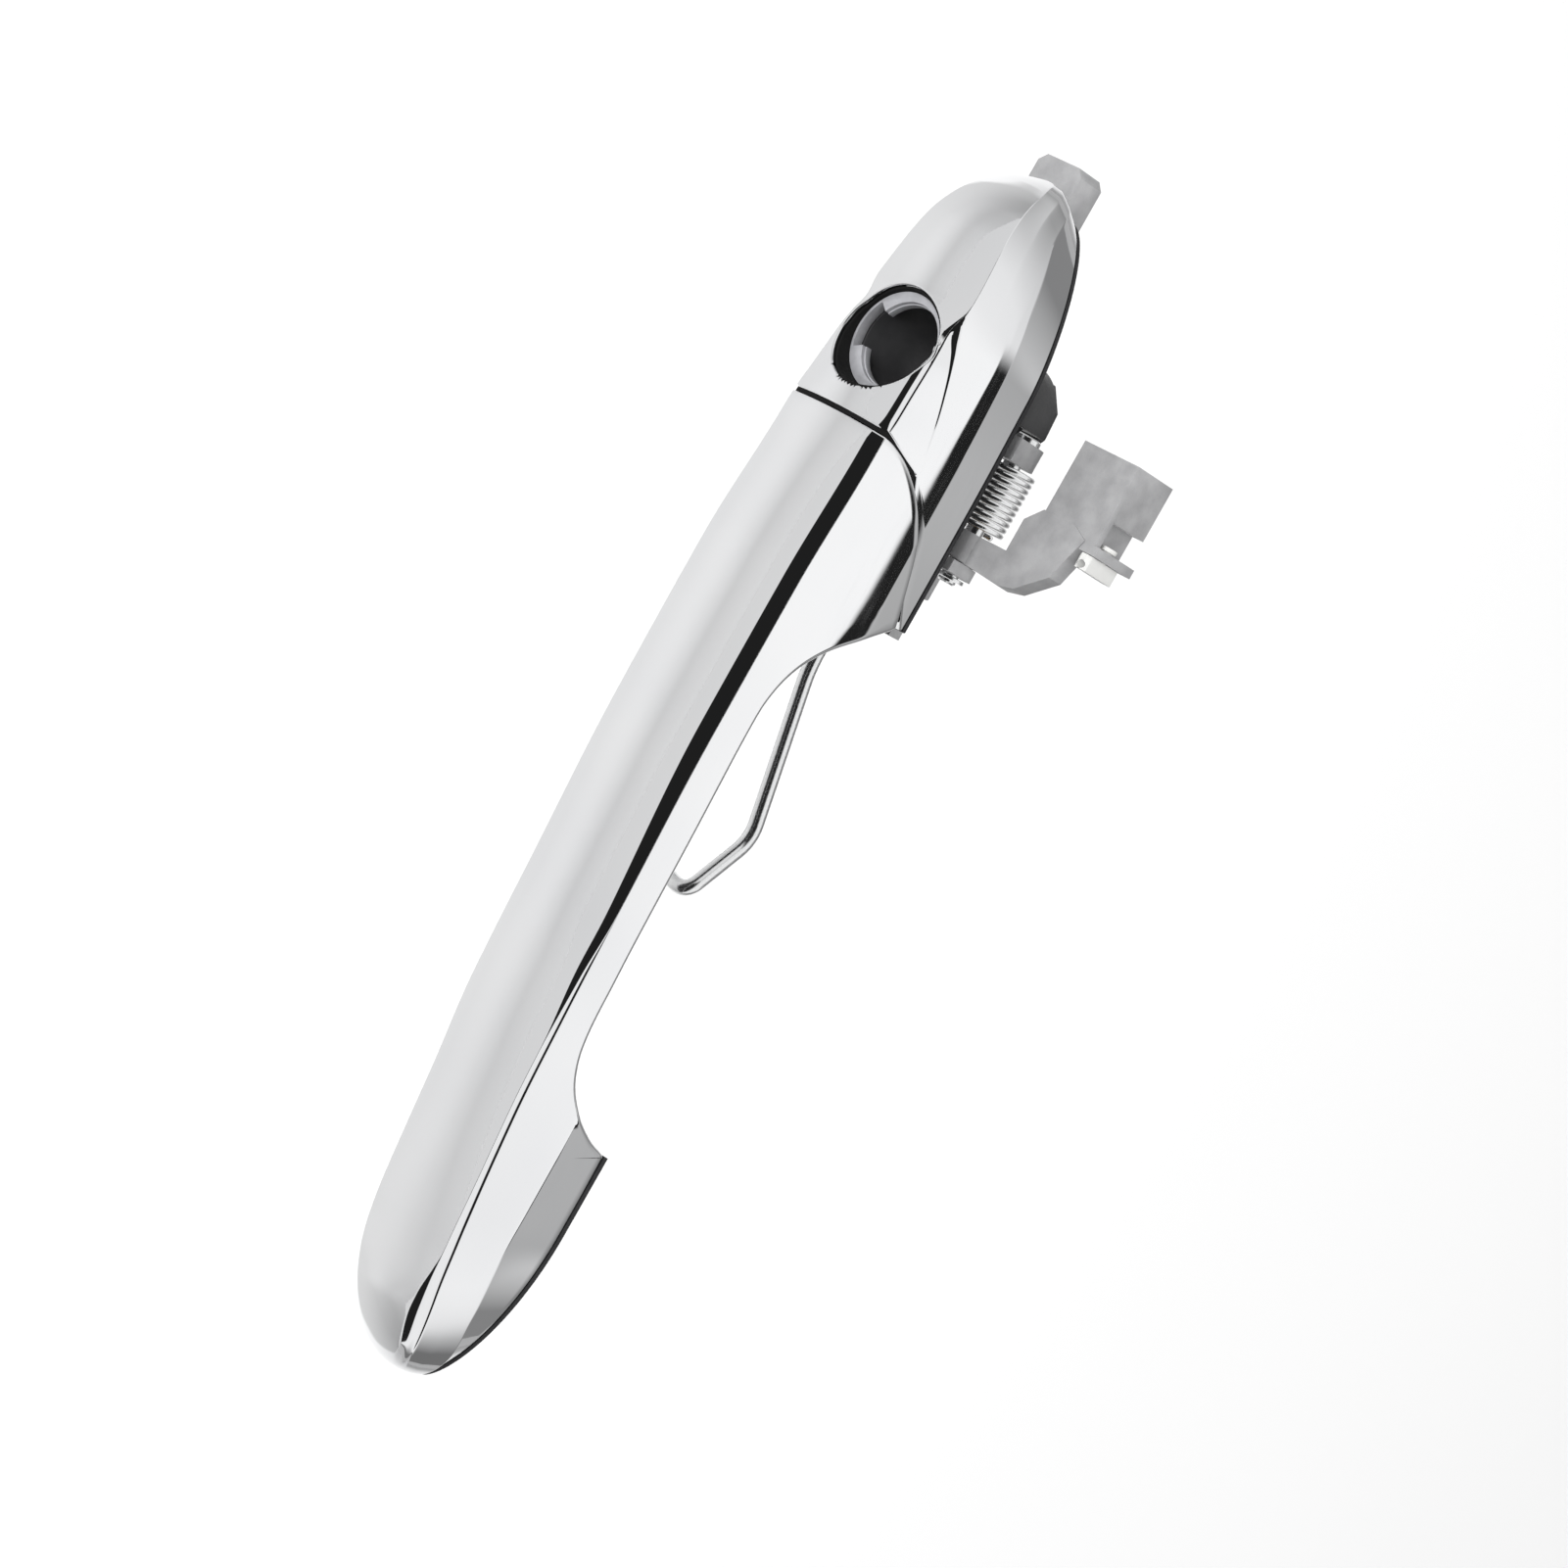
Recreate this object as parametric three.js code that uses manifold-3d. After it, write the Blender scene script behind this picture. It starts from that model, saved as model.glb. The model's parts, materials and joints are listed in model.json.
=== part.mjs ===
// Car door handle: chrome strap grip that swings outward on a hinge in its front foot, a fixed chrome cap
// with a key opening, and behind the door skin the bracket, bell-crank, return spring and pin that the
// grip's pull arm works. Millimetres. X runs along the handle (hinge end +X, key end -X), outward from the
// door is -Y, the outer face of the door skin is the plane Y = 0, +Z is up.
import * as THREE from 'three';
import * as BufferGeometryUtils from 'three/addons/utils/BufferGeometryUtils.js';
import Module from 'manifold-3d';

const wasm = await Module();
wasm.setup();
const { Manifold, Mesh: SolidMesh } = wasm;

// ---------- driving dimensions ----------
const FOOT_NOSE = 191.0;        // furthest point of the grip's front foot
const FOOT_BASE = 190.4;        // the same, where the foot meets its gasket
const FOOT_START = 155.0;       // where the front foot begins to round off
const KEY_NOSE = -54.8;         // furthest point of the cap
const KEY_BASE = -51.0;         // the same, where the cap meets its gasket
const KEY_START = -18.0;        // where the cap begins to round off
const NOSE_LIFT = { foot: 9, key: 11 };   // height of the foremost point of each end

const SKIN = 0.8;               // thickness of the door skin
const GASKET = 1.0;             // rubber gasket on the outside of the skin
const CLEAR = 0.3;              // gap between pieces that touch
const SEATING = 0.1;            // gap behind the door skin, where a bracket is clamped to it
const PIN_PLAY = 0.06;          // room between a pin and its hole, all round
const BASE = GASKET + CLEAR;    // height at which the chrome pieces begin
const WALL = 2.2;               // wall of the chrome shells
const SPLIT_GAP = 0.9;          // dark line between grip and cap

const HINGE = { x: 181, y: -5.5, pin: 1.5, half: 2.4, cheek: 1.3 };
const PIVOT = { y: 8.6, z: 7.8, pin: 1.8, ear: 4.0 };       // axis of the bell-crank, along X
const FINGER = { reach: 18, rest: 26.4, radius: 1.8 };      // crank finger, rest angle in degrees
const KEYHOLE = { x: -14.8, z: 0.6, radius: 10.7 };
const TUNNEL = { tube: 10.3, top: 24.6, bore: 9.2, body: 11.0, depth: 8.8 };
const TAIL_HOLE = { x: KEYHOLE.x - 3.5, z: KEYHOLE.z - 1.5, radius: 3.2 };
const RING = { thickness: 2.4, bore: 8.1, shift: 1.4, recess: 9.2, from: -37, to: 12 };   // angles in degrees
const PLATE = { y0: SKIN + SEATING, y1: 4.0 };              // base bracket plate inside the door
const SPRING = { x0: -6.6, x1: 6.2, radius: 4.7, wire: 1.15, turns: 11 };
const SLOT = { x0: 4, x1: 22.5, z0: -12.5, z1: 3.5 };       // opening in the door for arm and finger

// ---------- form lines of the whole handle: [x, value], joined by smooth curves ----------
const CROWN = [[-55, 27], [-40, 28.7], [-28, 30.2], [-15, 31.9], [7, 33.8], [32, 35.3], [63, 35],
  [95, 32.9], [122, 30.6], [140, 28.2], [160, 25.2], [175, 22.6], [192, 20]];
const EDGE_HEIGHT = [[-54.8, 10.5], [-53, 13.5], [-50, 18.5], [-45, 23.3], [-39.5, 26], [-27, 28.5],
  [-15, 29.4], [7, 30.2], [32, 31.5], [63, 31.2], [95, 29.5], [122, 27.5], [140, 25.3], [161, 22],
  [172, 19.3], [181, 14.6], [187, 10.3], [191, 6]];
const EDGE_HALF = [[-18, 12.3], [7, 13], [32, 13.3], [63, 13.2], [95, 12.9], [122, 12.4], [140, 11.7], [161, 11.6]];
const BEVEL = [[-40, 0.3], [-15, 1.3], [7, 2], [60, 2], [95, 1.35], [122, 1.1], [160, 0.4]];
const BELLY_HEIGHT = [[-55, 6], [-45, 12], [-20, 15], [27, 15], [60, 22], [110, 20], [125, 14],
  [140, 12.9], [158, 12.9], [176, 8.9], [186, 4.5], [192, 3]];
const BELLY_HALF = [[-18, 12.9], [7, 13.5], [30, 13.9], [125, 14], [158, 14.2]];
const BASE_HALF = [[-18, 12.3], [3, 13.6], [30, 13.8], [158, 13.8]];

// outline of the hand gap, [x, height], from the front foot to the rear foot
const HAND_GAP = [[139.6, 0], [137.4, 7], [133.5, 13.5], [128, 18], [120, 20.6], [105, 22], [80, 23],
  [60, 23.8], [52, 23.4], [45.5, 21], [40, 16.5], [35, 10], [30.5, 3.4]];
// parting line between grip (above) and cap (below), [x, height], from the toe of the cap to the crown
const SPLIT = [[30.5, 2.2], [24, 3.8], [18.5, 5.8], [13.5, 8.6], [9, 12.4], [5.6, 17], [3, 22], [1.4, 27],
  [0.6, 31], [0.5, 40]];

// ---------- materials ----------
const finish = (color, roughness, metalness) => new THREE.MeshStandardMaterial({ color, roughness, metalness });
const CHROME = finish(0xdfe1e4, 0.07, 1);
const ZINC = finish(0xa9abad, 0.5, 0.85);
const STEEL = finish(0xc6c8ca, 0.25, 1);
const RUBBER = finish(0x141414, 0.85, 0);
const BLACK_PLASTIC = finish(0x202122, 0.55, 0);
const GREY_RING = finish(0x8d9092, 0.4, 0.8);
const CLIP_PLASTIC = finish(0xd9dad8, 0.5, 0);
const BRONZE = finish(0x9c7b4a, 0.4, 0.9);

// ---------- small helpers ----------
const rad = (degrees) => degrees * Math.PI / 180;
const lerp = (a, b, t) => a + (b - a) * t;
const clamp = (value) => Math.min(1, Math.max(0, value));

// monotone cubic through [x, value] points: no overshoot between them
function smooth(points, x) {
  const last = points.length - 1;
  if (x <= points[0][0]) return points[0][1];
  if (x >= points[last][0]) return points[last][1];
  const run = (i) => points[i + 1][0] - points[i][0];
  const slope = (i) => (points[i + 1][1] - points[i][1]) / run(i);
  const tangent = (i) => {
    if (i === 0) return slope(0);
    if (i === last) return slope(last - 1);
    if (slope(i - 1) * slope(i) <= 0) return 0;
    const before = 2 * run(i) + run(i - 1);
    const after = run(i) + 2 * run(i - 1);
    return (before + after) / (before / slope(i - 1) + after / slope(i));
  };
  const i = points.findLastIndex((point) => point[0] <= x);
  const t = (x - points[i][0]) / run(i);
  const rise = points[i][1] * (1 + 2 * t) * (1 - t) ** 2 + points[i + 1][1] * t * t * (3 - 2 * t);
  return rise + run(i) * (tangent(i) * t * (1 - t) ** 2 + tangent(i + 1) * t * t * (t - 1));
}

function toSolid(geometry) {
  const bare = geometry.index ? geometry.toNonIndexed() : geometry.clone();
  for (const name of Object.keys(bare.attributes)) {
    if (name !== 'position') bare.deleteAttribute(name);
  }
  const merged = BufferGeometryUtils.mergeVertices(bare, 1e-4);
  return new Manifold(new SolidMesh({
    numProp: 3,
    vertProperties: new Float32Array(merged.attributes.position.array),
    triVerts: new Uint32Array(merged.index.array),
  }));
}

function toGeometry(solid) {
  const mesh = solid.getMesh();
  const geometry = new THREE.BufferGeometry();
  geometry.setAttribute('position', new THREE.BufferAttribute(new Float32Array(mesh.vertProperties), 3));
  geometry.setIndex(new THREE.BufferAttribute(new Uint32Array(mesh.triVerts), 1));
  geometry.computeVertexNormals();
  return geometry;
}

const union = (...solids) => solids.reduce((sum, next) => sum.add(next));

function box(x, y, z) {
  const geometry = new THREE.BoxGeometry(x[1] - x[0], y[1] - y[0], z[1] - z[0]);
  return toSolid(geometry.translate((x[0] + x[1]) / 2, (y[0] + y[1]) / 2, (z[0] + z[1]) / 2));
}

// round bars along each axis: radius, [from, to], centre in the other two axes
function barX(radius, [from, to], y, z, sides = 24) {
  const geometry = new THREE.CylinderGeometry(radius, radius, to - from, sides).rotateZ(Math.PI / 2);
  return toSolid(geometry.translate((from + to) / 2, y, z));
}
function barY(radius, [from, to], x, z, sides = 24) {
  const geometry = new THREE.CylinderGeometry(radius, radius, to - from, sides);
  return toSolid(geometry.translate(x, (from + to) / 2, z));
}
function barZ(radius, [from, to], x, y, sides = 24) {
  const geometry = new THREE.CylinderGeometry(radius, radius, to - from, sides).rotateX(Math.PI / 2);
  return toSolid(geometry.translate(x, y, (from + to) / 2));
}

const outline = (points) => new THREE.Shape(points.map(([a, b]) => new THREE.Vector2(a, b)));
const extrude = (shape, depth) => new THREE.ExtrudeGeometry(shape, { depth, bevelEnabled: false, curveSegments: 10 });

// side profile [x, height] pulled across the handle
function acrossZ(points, [z0, z1]) {
  return toSolid(extrude(outline(points.map(([x, height]) => [x, -height])), z1 - z0).translate(0, 0, z0));
}
// plan outline [x, z] pulled through the door
function throughY(points, [y0, y1]) {
  return toSolid(extrude(outline(points), y1 - y0).rotateX(Math.PI / 2).translate(0, y1, 0));
}
// end outline [y, z] pulled along the handle
function alongX(points, [x0, x1]) {
  const turn = new THREE.Matrix4().makeBasis(
    new THREE.Vector3(0, 1, 0), new THREE.Vector3(0, 0, 1), new THREE.Vector3(1, 0, 0));
  return toSolid(extrude(outline(points), x1 - x0).applyMatrix4(turn).translate(x0, 0, 0));
}
const rectangle = (a0, a1, b0, b1) => [[a0, b0], [a1, b0], [a1, b1], [a0, b1]];

// a profile moved sideways by distance, to its left when positive
function offset(points, distance) {
  return points.map(([x, y], i) => {
    const before = points[Math.max(0, i - 1)];
    const after = points[Math.min(points.length - 1, i + 1)];
    const length = Math.hypot(after[0] - before[0], after[1] - before[1]);
    return [x - (after[1] - before[1]) / length * distance, y + (after[0] - before[0]) / length * distance];
  });
}

// ---------- outer form of grip and cap together ----------
function rounding(x, start, end, power, root) {
  const u = clamp((x - start) / (end - start));
  return (1 - u ** power) ** root;
}
const upperRound = (x) => rounding(x, FOOT_START, FOOT_NOSE, 2, 0.5) * rounding(x, KEY_START, KEY_NOSE, 2, 0.5);
const baseRound = (x) => rounding(x, FOOT_START, FOOT_BASE, 2, 0.68) * rounding(x, KEY_START, KEY_BASE, 1.5, 0.6);

function crownHeight(x) {
  const height = smooth(CROWN, x);
  if (x > FOOT_START) {
    return NOSE_LIFT.foot + (height - NOSE_LIFT.foot) * rounding(x, FOOT_START, FOOT_NOSE, 8, 0.5);
  }
  if (x < KEY_START) {
    return NOSE_LIFT.key + (height - NOSE_LIFT.key) * rounding(x, KEY_START, KEY_NOSE, 7, 0.5);
  }
  return height;
}

// one half of a cross-section as [half width, height, share of the lean towards the base]
function halfSection(upperX, baseX, inset) {
  const shrink = (half) => Math.max(half - inset, half * 0.15);
  const crown = crownHeight(upperX);
  const edge = Math.min(smooth(EDGE_HEIGHT, upperX), crown - 0.4);
  const bevel = Math.min(smooth(BEVEL, upperX), (crown - edge) * 0.6);
  const edgeHalf = smooth(EDGE_HALF, upperX) * upperRound(upperX);
  const topHalf = edgeHalf - Math.min(bevel, edgeHalf * 0.4);
  const belly = Math.min(smooth(BELLY_HEIGHT, upperX), edge * 0.75);
  const bellyHalf = smooth(BELLY_HALF, upperX) * lerp(upperRound(upperX), baseRound(baseX), 0.5);
  const baseHalf = smooth(BASE_HALF, baseX) * baseRound(baseX);
  const arc = Math.max(0.5, 1 - 0.5 * clamp((upperX - 168) / 20) - 0.5 * clamp((-30 - upperX) / 22));
  const points = [0, 0.3, 0.58, 0.82, 1].map((f) => {
    const height = edge + bevel + (crown - edge - bevel) * (1 - f * f) ** arc;
    return [shrink(topHalf) * f, height - inset, 0];
  });
  points.push([shrink(edgeHalf), edge - inset * 0.6, 0]);
  points.push([shrink(lerp(edgeHalf, bellyHalf, 0.6)), lerp(edge, belly, 0.5), 0]);
  points.push([shrink(bellyHalf), belly, 0.2]);
  points.push([shrink(lerp(bellyHalf, baseHalf, 0.5)), belly * 0.5, 0.7]);
  points.push([shrink(baseHalf), inset > 0 ? -2 : BASE, 1]);
  return points;
}

// a flat strip of triangles from side to side over the last ring of points
function closeEnd(ring, triangle) {
  const count = ring.length;
  triangle(ring[0], ring[1], ring[count - 1]);
  for (let j = 1; j < (count - 1) / 2; j += 1) {
    triangle(ring[j], ring[j + 1], ring[count - j]);
    triangle(ring[j + 1], ring[count - j - 1], ring[count - j]);
  }
}

// closed solid of the whole outer form, or of its hollow when inset is more than zero
function wholeForm(inset) {
  const stations = [];
  const footSteps = 9;
  const keySteps = 10;
  for (let i = 0; i < footSteps; i += 1) {
    const u = Math.sin(rad(lerp(86, 0, i / footSteps)));
    stations.push([lerp(FOOT_START, FOOT_NOSE - inset, u), lerp(FOOT_START, FOOT_BASE - inset, u)]);
  }
  for (let x = FOOT_START; x > KEY_START + 1; x -= (FOOT_START - KEY_START) / 22) stations.push([x, x]);
  for (let i = 0; i <= keySteps; i += 1) {
    const u = Math.sin(rad(lerp(0, 86, i / keySteps)));
    stations.push([lerp(KEY_START, KEY_NOSE + inset, u), lerp(KEY_START, KEY_BASE + inset, u)]);
  }
  const positions = [];
  const rings = stations.map(([upperX, baseX]) => {
    const half = halfSection(upperX, baseX, inset);
    const place = ([z, height, lean], side) => new THREE.Vector3(lerp(upperX, baseX, lean), -height, z * side);
    return half.map((p) => place(p, 1)).concat(half.slice(1).reverse().map((p) => place(p, -1)));
  });
  const triangle = (a, b, c) => positions.push(a, c, b);
  for (let k = 0; k + 1 < rings.length; k += 1) {
    rings[k].forEach((point, j) => {
      const next = (j + 1) % rings[k].length;
      triangle(point, rings[k + 1][j], rings[k + 1][next]);
      triangle(point, rings[k + 1][next], rings[k][next]);
    });
  }
  closeEnd(rings[0], (a, b, c) => triangle(a, b, c));
  closeEnd(rings[rings.length - 1], (a, b, c) => triangle(a, c, b));
  return toSolid(new THREE.BufferGeometry().setFromPoints(positions));
}

const FAR = 60;                       // beyond the handle in every direction across
const ACROSS = [-FAR, FAR];
const outerForm = wholeForm(0);
const hollowForm = wholeForm(WALL);
const coverForm = wholeForm(WALL + CLEAR);

const gripSplit = offset(SPLIT, -SPLIT_GAP / 2);
const capSplit = offset(SPLIT, SPLIT_GAP / 2);
const capSplitInside = offset(SPLIT, SPLIT_GAP / 2 + WALL);
const gripRegion = acrossZ([...HAND_GAP, ...gripSplit, [0, FAR], [FOOT_NOSE + 5, FAR], [FOOT_NOSE + 5, -5],
  [HAND_GAP[0][0], -5]], ACROSS);
const endOfCap = (split) => acrossZ([[split[0][0], -5], ...split, [split.at(-1)[0], FAR], [KEY_NOSE - 5, FAR],
  [KEY_NOSE - 5, -5]], ACROSS);
const capRegion = endOfCap(capSplit);
const capInside = endOfCap(capSplitInside);

// ---------- grip ----------
const HINGE_ARM_SCREW = { x: 160, z: 0, seat: 8.0 };
const HINGE_ARM = { pad: [152, 167], half: 6, thickness: 3.5, eye: 3.2 };
const PULL_ARM_SCREW = { x: 26, z: 0, seat: 13.5 };
const SMALL_SCREW = { radius: 1.4, head: 2.9, headHeight: 2.4, hole: 1.7, boss: 3.6, socket: 1.3 };
const PULL_ARM = { x: [17.6, 21.4], z: [-10.6, -5], hook: 12.6, tip: 21.6, padTop: 17 };

function gripShell() {
  const whole = outerForm.intersect(gripRegion);
  const boss = (screw, bottom) => barY(SMALL_SCREW.boss, [-FAR, -bottom], screw.x, screw.z)
    .intersect(whole)
    .subtract(barY(SMALL_SCREW.hole, [-bottom - 13, -bottom + 1], screw.x, screw.z, 16));
  const tipRelief = acrossZ([[HINGE.x - 4, -3], [FOOT_NOSE + 3, -3], [FOOT_NOSE + 3, BASE + 1.5],
    [HINGE.x - 4, BASE - 0.1]], ACROSS);
  return whole.subtract(hollowForm)
    .add(boss(HINGE_ARM_SCREW, HINGE_ARM_SCREW.seat + HINGE_ARM.thickness + CLEAR))
    .add(boss(PULL_ARM_SCREW, PULL_ARM.padTop + CLEAR))
    .subtract(tipRelief);
}

// inner cover: follows the foot's rear wall, the underside, the rear foot and its end face
function gripBack() {
  const gapLine = [[HAND_GAP[0][0], BASE], ...HAND_GAP.slice(1)];
  const strip = (line) => acrossZ([...line, ...offset(line, -WALL).reverse()], ACROSS);
  const armWindow = box([PULL_ARM.x[0] - 0.8, PULL_ARM.x[1] + 0.8], [-14, 0], [-FAR, PULL_ARM.z[1] + 0.6]);
  const screwAccess = barY(SMALL_SCREW.head + 0.5, [-12, 0], PULL_ARM_SCREW.x, PULL_ARM_SCREW.z);
  return strip(gapLine).add(strip(gripSplit)).intersect(coverForm)
    .subtract(armWindow)
    .subtract(screwAccess);
}

function smallScrew({ x, z, seat }, length) {
  const head = barY(SMALL_SCREW.head, [-seat + 0.1, -seat + 0.1 + SMALL_SCREW.headHeight], x, z);
  const recess = barY(SMALL_SCREW.socket, [-seat + 1.2, -seat + 4], x, z, 6);
  return head.add(barY(SMALL_SCREW.radius, [-seat - length, -seat + 0.2], x, z, 16)).subtract(recess);
}

// arm from the rear foot through the door; its hook lies just inside the crank's finger
function pullArm() {
  const hookTop = PIVOT.y + FINGER.reach * Math.sin(rad(FINGER.rest)) + FINGER.radius + 0.45;
  const pad = box([15.5, 31], [-PULL_ARM.padTop, -PULL_ARM_SCREW.seat], [PULL_ARM.z[0], 4]);
  const arm = box(PULL_ARM.x, [-PULL_ARM.padTop, PULL_ARM.tip], PULL_ARM.z);
  const hook = box([PULL_ARM.hook, PULL_ARM.x[1]], [hookTop, PULL_ARM.tip], PULL_ARM.z);
  const ribTop = PULL_ARM_SCREW.seat + 0.5;
  const side = PULL_ARM.x[1];
  const rib = acrossZ([[side - 0.5, ribTop], [side + 3, ribTop], [side - 0.5, 9]],
    [PULL_ARM.z[0] + 2, PULL_ARM.z[1] - 1]);
  const hole = barY(SMALL_SCREW.hole, [-FAR, 0], PULL_ARM_SCREW.x, PULL_ARM_SCREW.z, 16);
  return union(pad, arm, hook, rib).subtract(hole);
}

// lug in the front foot that turns on the hinge pin
function hingeArm() {
  const seat = HINGE_ARM_SCREW.seat;
  const { pad: [padStart, padEnd], half, thickness, eye } = HINGE_ARM;
  const width = [-HINGE.half + CLEAR, HINGE.half - CLEAR];
  const pad = box([padStart, padEnd], [-seat - thickness, -seat], [-half, half]);
  const arm = acrossZ([[padEnd - 2, seat + thickness], [HINGE.x, -HINGE.y + eye], [HINGE.x, -HINGE.y - eye],
    [padEnd - 2, seat - 2]], width);
  return union(pad, arm, barZ(eye, width, HINGE.x, HINGE.y))
    .subtract(barZ(HINGE.pin + CLEAR, [-8, 8], HINGE.x, HINGE.y))
    .subtract(barY(SMALL_SCREW.hole, [-FAR, 0], HINGE_ARM_SCREW.x, HINGE_ARM_SCREW.z, 16));
}

// ---------- front hinge on the door ----------
const HINGE_SCREWS = [161, 171];
const HINGE_PLATE = { x: [155.5, 183.4], half: 3.9, y: [SKIN + SEATING, 2.6] };
const CHEEK = { behind: 3.6, ahead: 2.3, end: 2.4 };        // foot of a cheek either side of the pin; end radius

function baseHalf(x) {
  return smooth(BASE_HALF, x) * baseRound(x);
}

// plan outline of the handle's base between two stations, grown by margin
function basePlan(from, to, margin, steps) {
  const side = Array.from({ length: steps + 1 }, (_, i) => {
    const x = lerp(from, to, Math.sin(rad(90 * i / steps)));
    return [x, baseHalf(x) + margin];
  });
  return [...side, ...side.map(([x, z]) => [x, -z]).reverse()];
}

function frontGasket() {
  const window = throughY(rectangle(152, 186, -5.2, 5.2), [-3, 2]);
  return throughY(basePlan(HAND_GAP[0][0], FOOT_BASE - 0.01, 0.25, 14), [-GASKET, 0]).subtract(window);
}

function hingeBracket() {
  const plate = box(HINGE_PLATE.x, HINGE_PLATE.y, [-HINGE_PLATE.half, HINGE_PLATE.half]);
  const cheek = (side) => {
    const range = [HINGE.half * side, (HINGE.half + HINGE.cheek) * side].sort((a, b) => a - b);
    const foot = -HINGE_PLATE.y[1] + 0.6;
    const leg = acrossZ([[HINGE.x - CHEEK.behind, foot], [HINGE.x + CHEEK.ahead, foot],
      [HINGE.x + CHEEK.end, -HINGE.y], [HINGE.x - CHEEK.end, -HINGE.y]], range);
    return leg.add(barZ(CHEEK.end, range, HINGE.x, HINGE.y));
  };
  const holes = HINGE_SCREWS.map((x) => barY(1.6, [-3, 5], x, 0, 16));
  return union(plate, cheek(1), cheek(-1))
    .subtract(barZ(HINGE.pin + PIN_PLAY, [-8, 8], HINGE.x, HINGE.y))
    .subtract(union(...holes));
}

function hingePin() {
  const end = HINGE.half + HINGE.cheek;
  return barZ(HINGE.pin, [-end - 0.1, end], HINGE.x, HINGE.y);
}

function hingeScrew(x) {
  const top = HINGE_PLATE.y[1] + 0.05;
  return barY(2.7, [top, top + 1.6], x, 0).add(barY(1.4, [0.05, top + 0.1], x, 0, 16))
    .subtract(barY(1.2, [top + 0.7, top + 3], x, 0, 6));
}

// ---------- cap and its base ----------
const CAP_SCREWS = [{ x: -38, z: 0, top: 17 }, { x: 1, z: -7.5, top: 11 }];
const STOP = { x: 11.3, height: 10.45, z: 5, radius: 2.2, tilt: 40 };

// round bar square to the parting face, from and to measured outward from the parting line
function stopBar(radius, from, to) {
  const geometry = new THREE.CylinderGeometry(radius, radius, to - from, 24).translate(0, -(from + to) / 2, 0);
  return toSolid(geometry.rotateZ(rad(STOP.tilt)).translate(STOP.x, -STOP.height, STOP.z));
}

function keyCap() {
  const whole = outerForm.intersect(capRegion);
  const keyBore = barY(KEYHOLE.radius, [-FAR, 5], KEYHOLE.x, KEYHOLE.z, 40);
  const armWindow = box([PULL_ARM.x[0] - 1.2, PULL_ARM.x[1] + 1], [-FAR, 5],
    [PULL_ARM.z[0] - 0.8, PULL_ARM.z[1] + 0.8]);
  const bosses = CAP_SCREWS.map(({ x, z, top }) => barY(3.3, [-top - 12, -BASE - CLEAR], x, z)
    .intersect(whole)
    .subtract(barY(SMALL_SCREW.hole, [-top, 5], x, z, 16)));
  return whole.subtract(hollowForm.intersect(capInside))
    .add(union(...bosses))
    .subtract(keyBore)
    .subtract(armWindow)
    .subtract(stopBar(STOP.radius + 0.1, -6, 3));
}

function bumpStop() {
  return stopBar(STOP.radius, -4, 0.1).add(stopBar(3.2, -4.1, -SPLIT_GAP / 2 - WALL - 0.2));
}

function rearGasket() {
  return throughY(basePlan(SPLIT[0][0] - 1, KEY_BASE + 0.01, 0.25, 16), [-GASKET, 0])
    .subtract(barY(TUNNEL.body + 0.3, [-3, 3], KEYHOLE.x, KEYHOLE.z, 40))
    .subtract(box([SLOT.x0, SLOT.x1], [-3, 3], [SLOT.z0 + 1.2, SLOT.z1]))
    .subtract(union(...CAP_SCREWS.map(({ x, z }) => barY(1.8, [-3, 3], x, z, 16))));
}

// ---------- lock housing ----------
const EAR = { near: [13.1, 15.5], far: [-12.1, -7.6] };

// the corner of the housing that the ear next to it takes away
const earCorner = (margin) => box([EAR.far[0] - 1.7 - margin, 5], [SKIN - 1 - margin, 30], [1.9 - margin, 20]);

function lockTunnel() {
  const tube = barY(TUNNEL.tube, [-TUNNEL.top, 0.5], KEYHOLE.x, KEYHOLE.z, 36);
  const body = barY(TUNNEL.body, [0.2, TUNNEL.depth], KEYHOLE.x, KEYHOLE.z, 36).subtract(earCorner(0));
  const pocket = barY(TUNNEL.bore, [-FAR, CLEAR], KEYHOLE.x, KEYHOLE.z, 36);
  const tailHole = barY(TAIL_HOLE.radius, [-1, FAR], TAIL_HOLE.x, TAIL_HOLE.z, 20);
  return union(tube, body).subtract(pocket).subtract(tailHole);
}

// ring on the tube: its bore lies off centre, with a recess in the thick part
function lockRing() {
  const bottom = -TUNNEL.top - CLEAR;
  const recess = [[KEYHOLE.x, KEYHOLE.z]];
  for (let degrees = RING.from; degrees <= RING.to; degrees += 7) {
    recess.push([KEYHOLE.x + RING.recess * Math.sin(rad(degrees)), KEYHOLE.z - RING.recess * Math.cos(rad(degrees))]);
  }
  return barY(TUNNEL.tube - CLEAR, [bottom - RING.thickness, bottom], KEYHOLE.x, KEYHOLE.z, 36)
    .subtract(barY(RING.bore, [-FAR, 0], KEYHOLE.x, KEYHOLE.z + RING.shift, 36))
    .subtract(throughY(recess, [-FAR, 0]));
}

// ---------- base bracket inside the door ----------
const TAB = { x: [-61, -43], y: [PLATE.y0, 7.6], z: [-17, -5.3], corner: 1.6 };
const WIRE = { radius: 1.5, z: [-6.1, -23.6], start: 30, bend: 43, shallow: 2.6, knee: [76, 12.6],
  corner: [90.4, 4], bow: 1.8 };
const WIRE_HOLDER = { x: [26, 35.5], y: [PLATE.y0, 5.4], z: [-27, -2.5] };

function earSolid([from, to]) {
  const foot = PLATE.y1 - 0.8;
  return alongX(rectangle(foot, PIVOT.y, PIVOT.z - PIVOT.ear, PIVOT.z + PIVOT.ear), [from, to])
    .add(barX(PIVOT.ear, [from, to], PIVOT.y, PIVOT.z));
}

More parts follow.
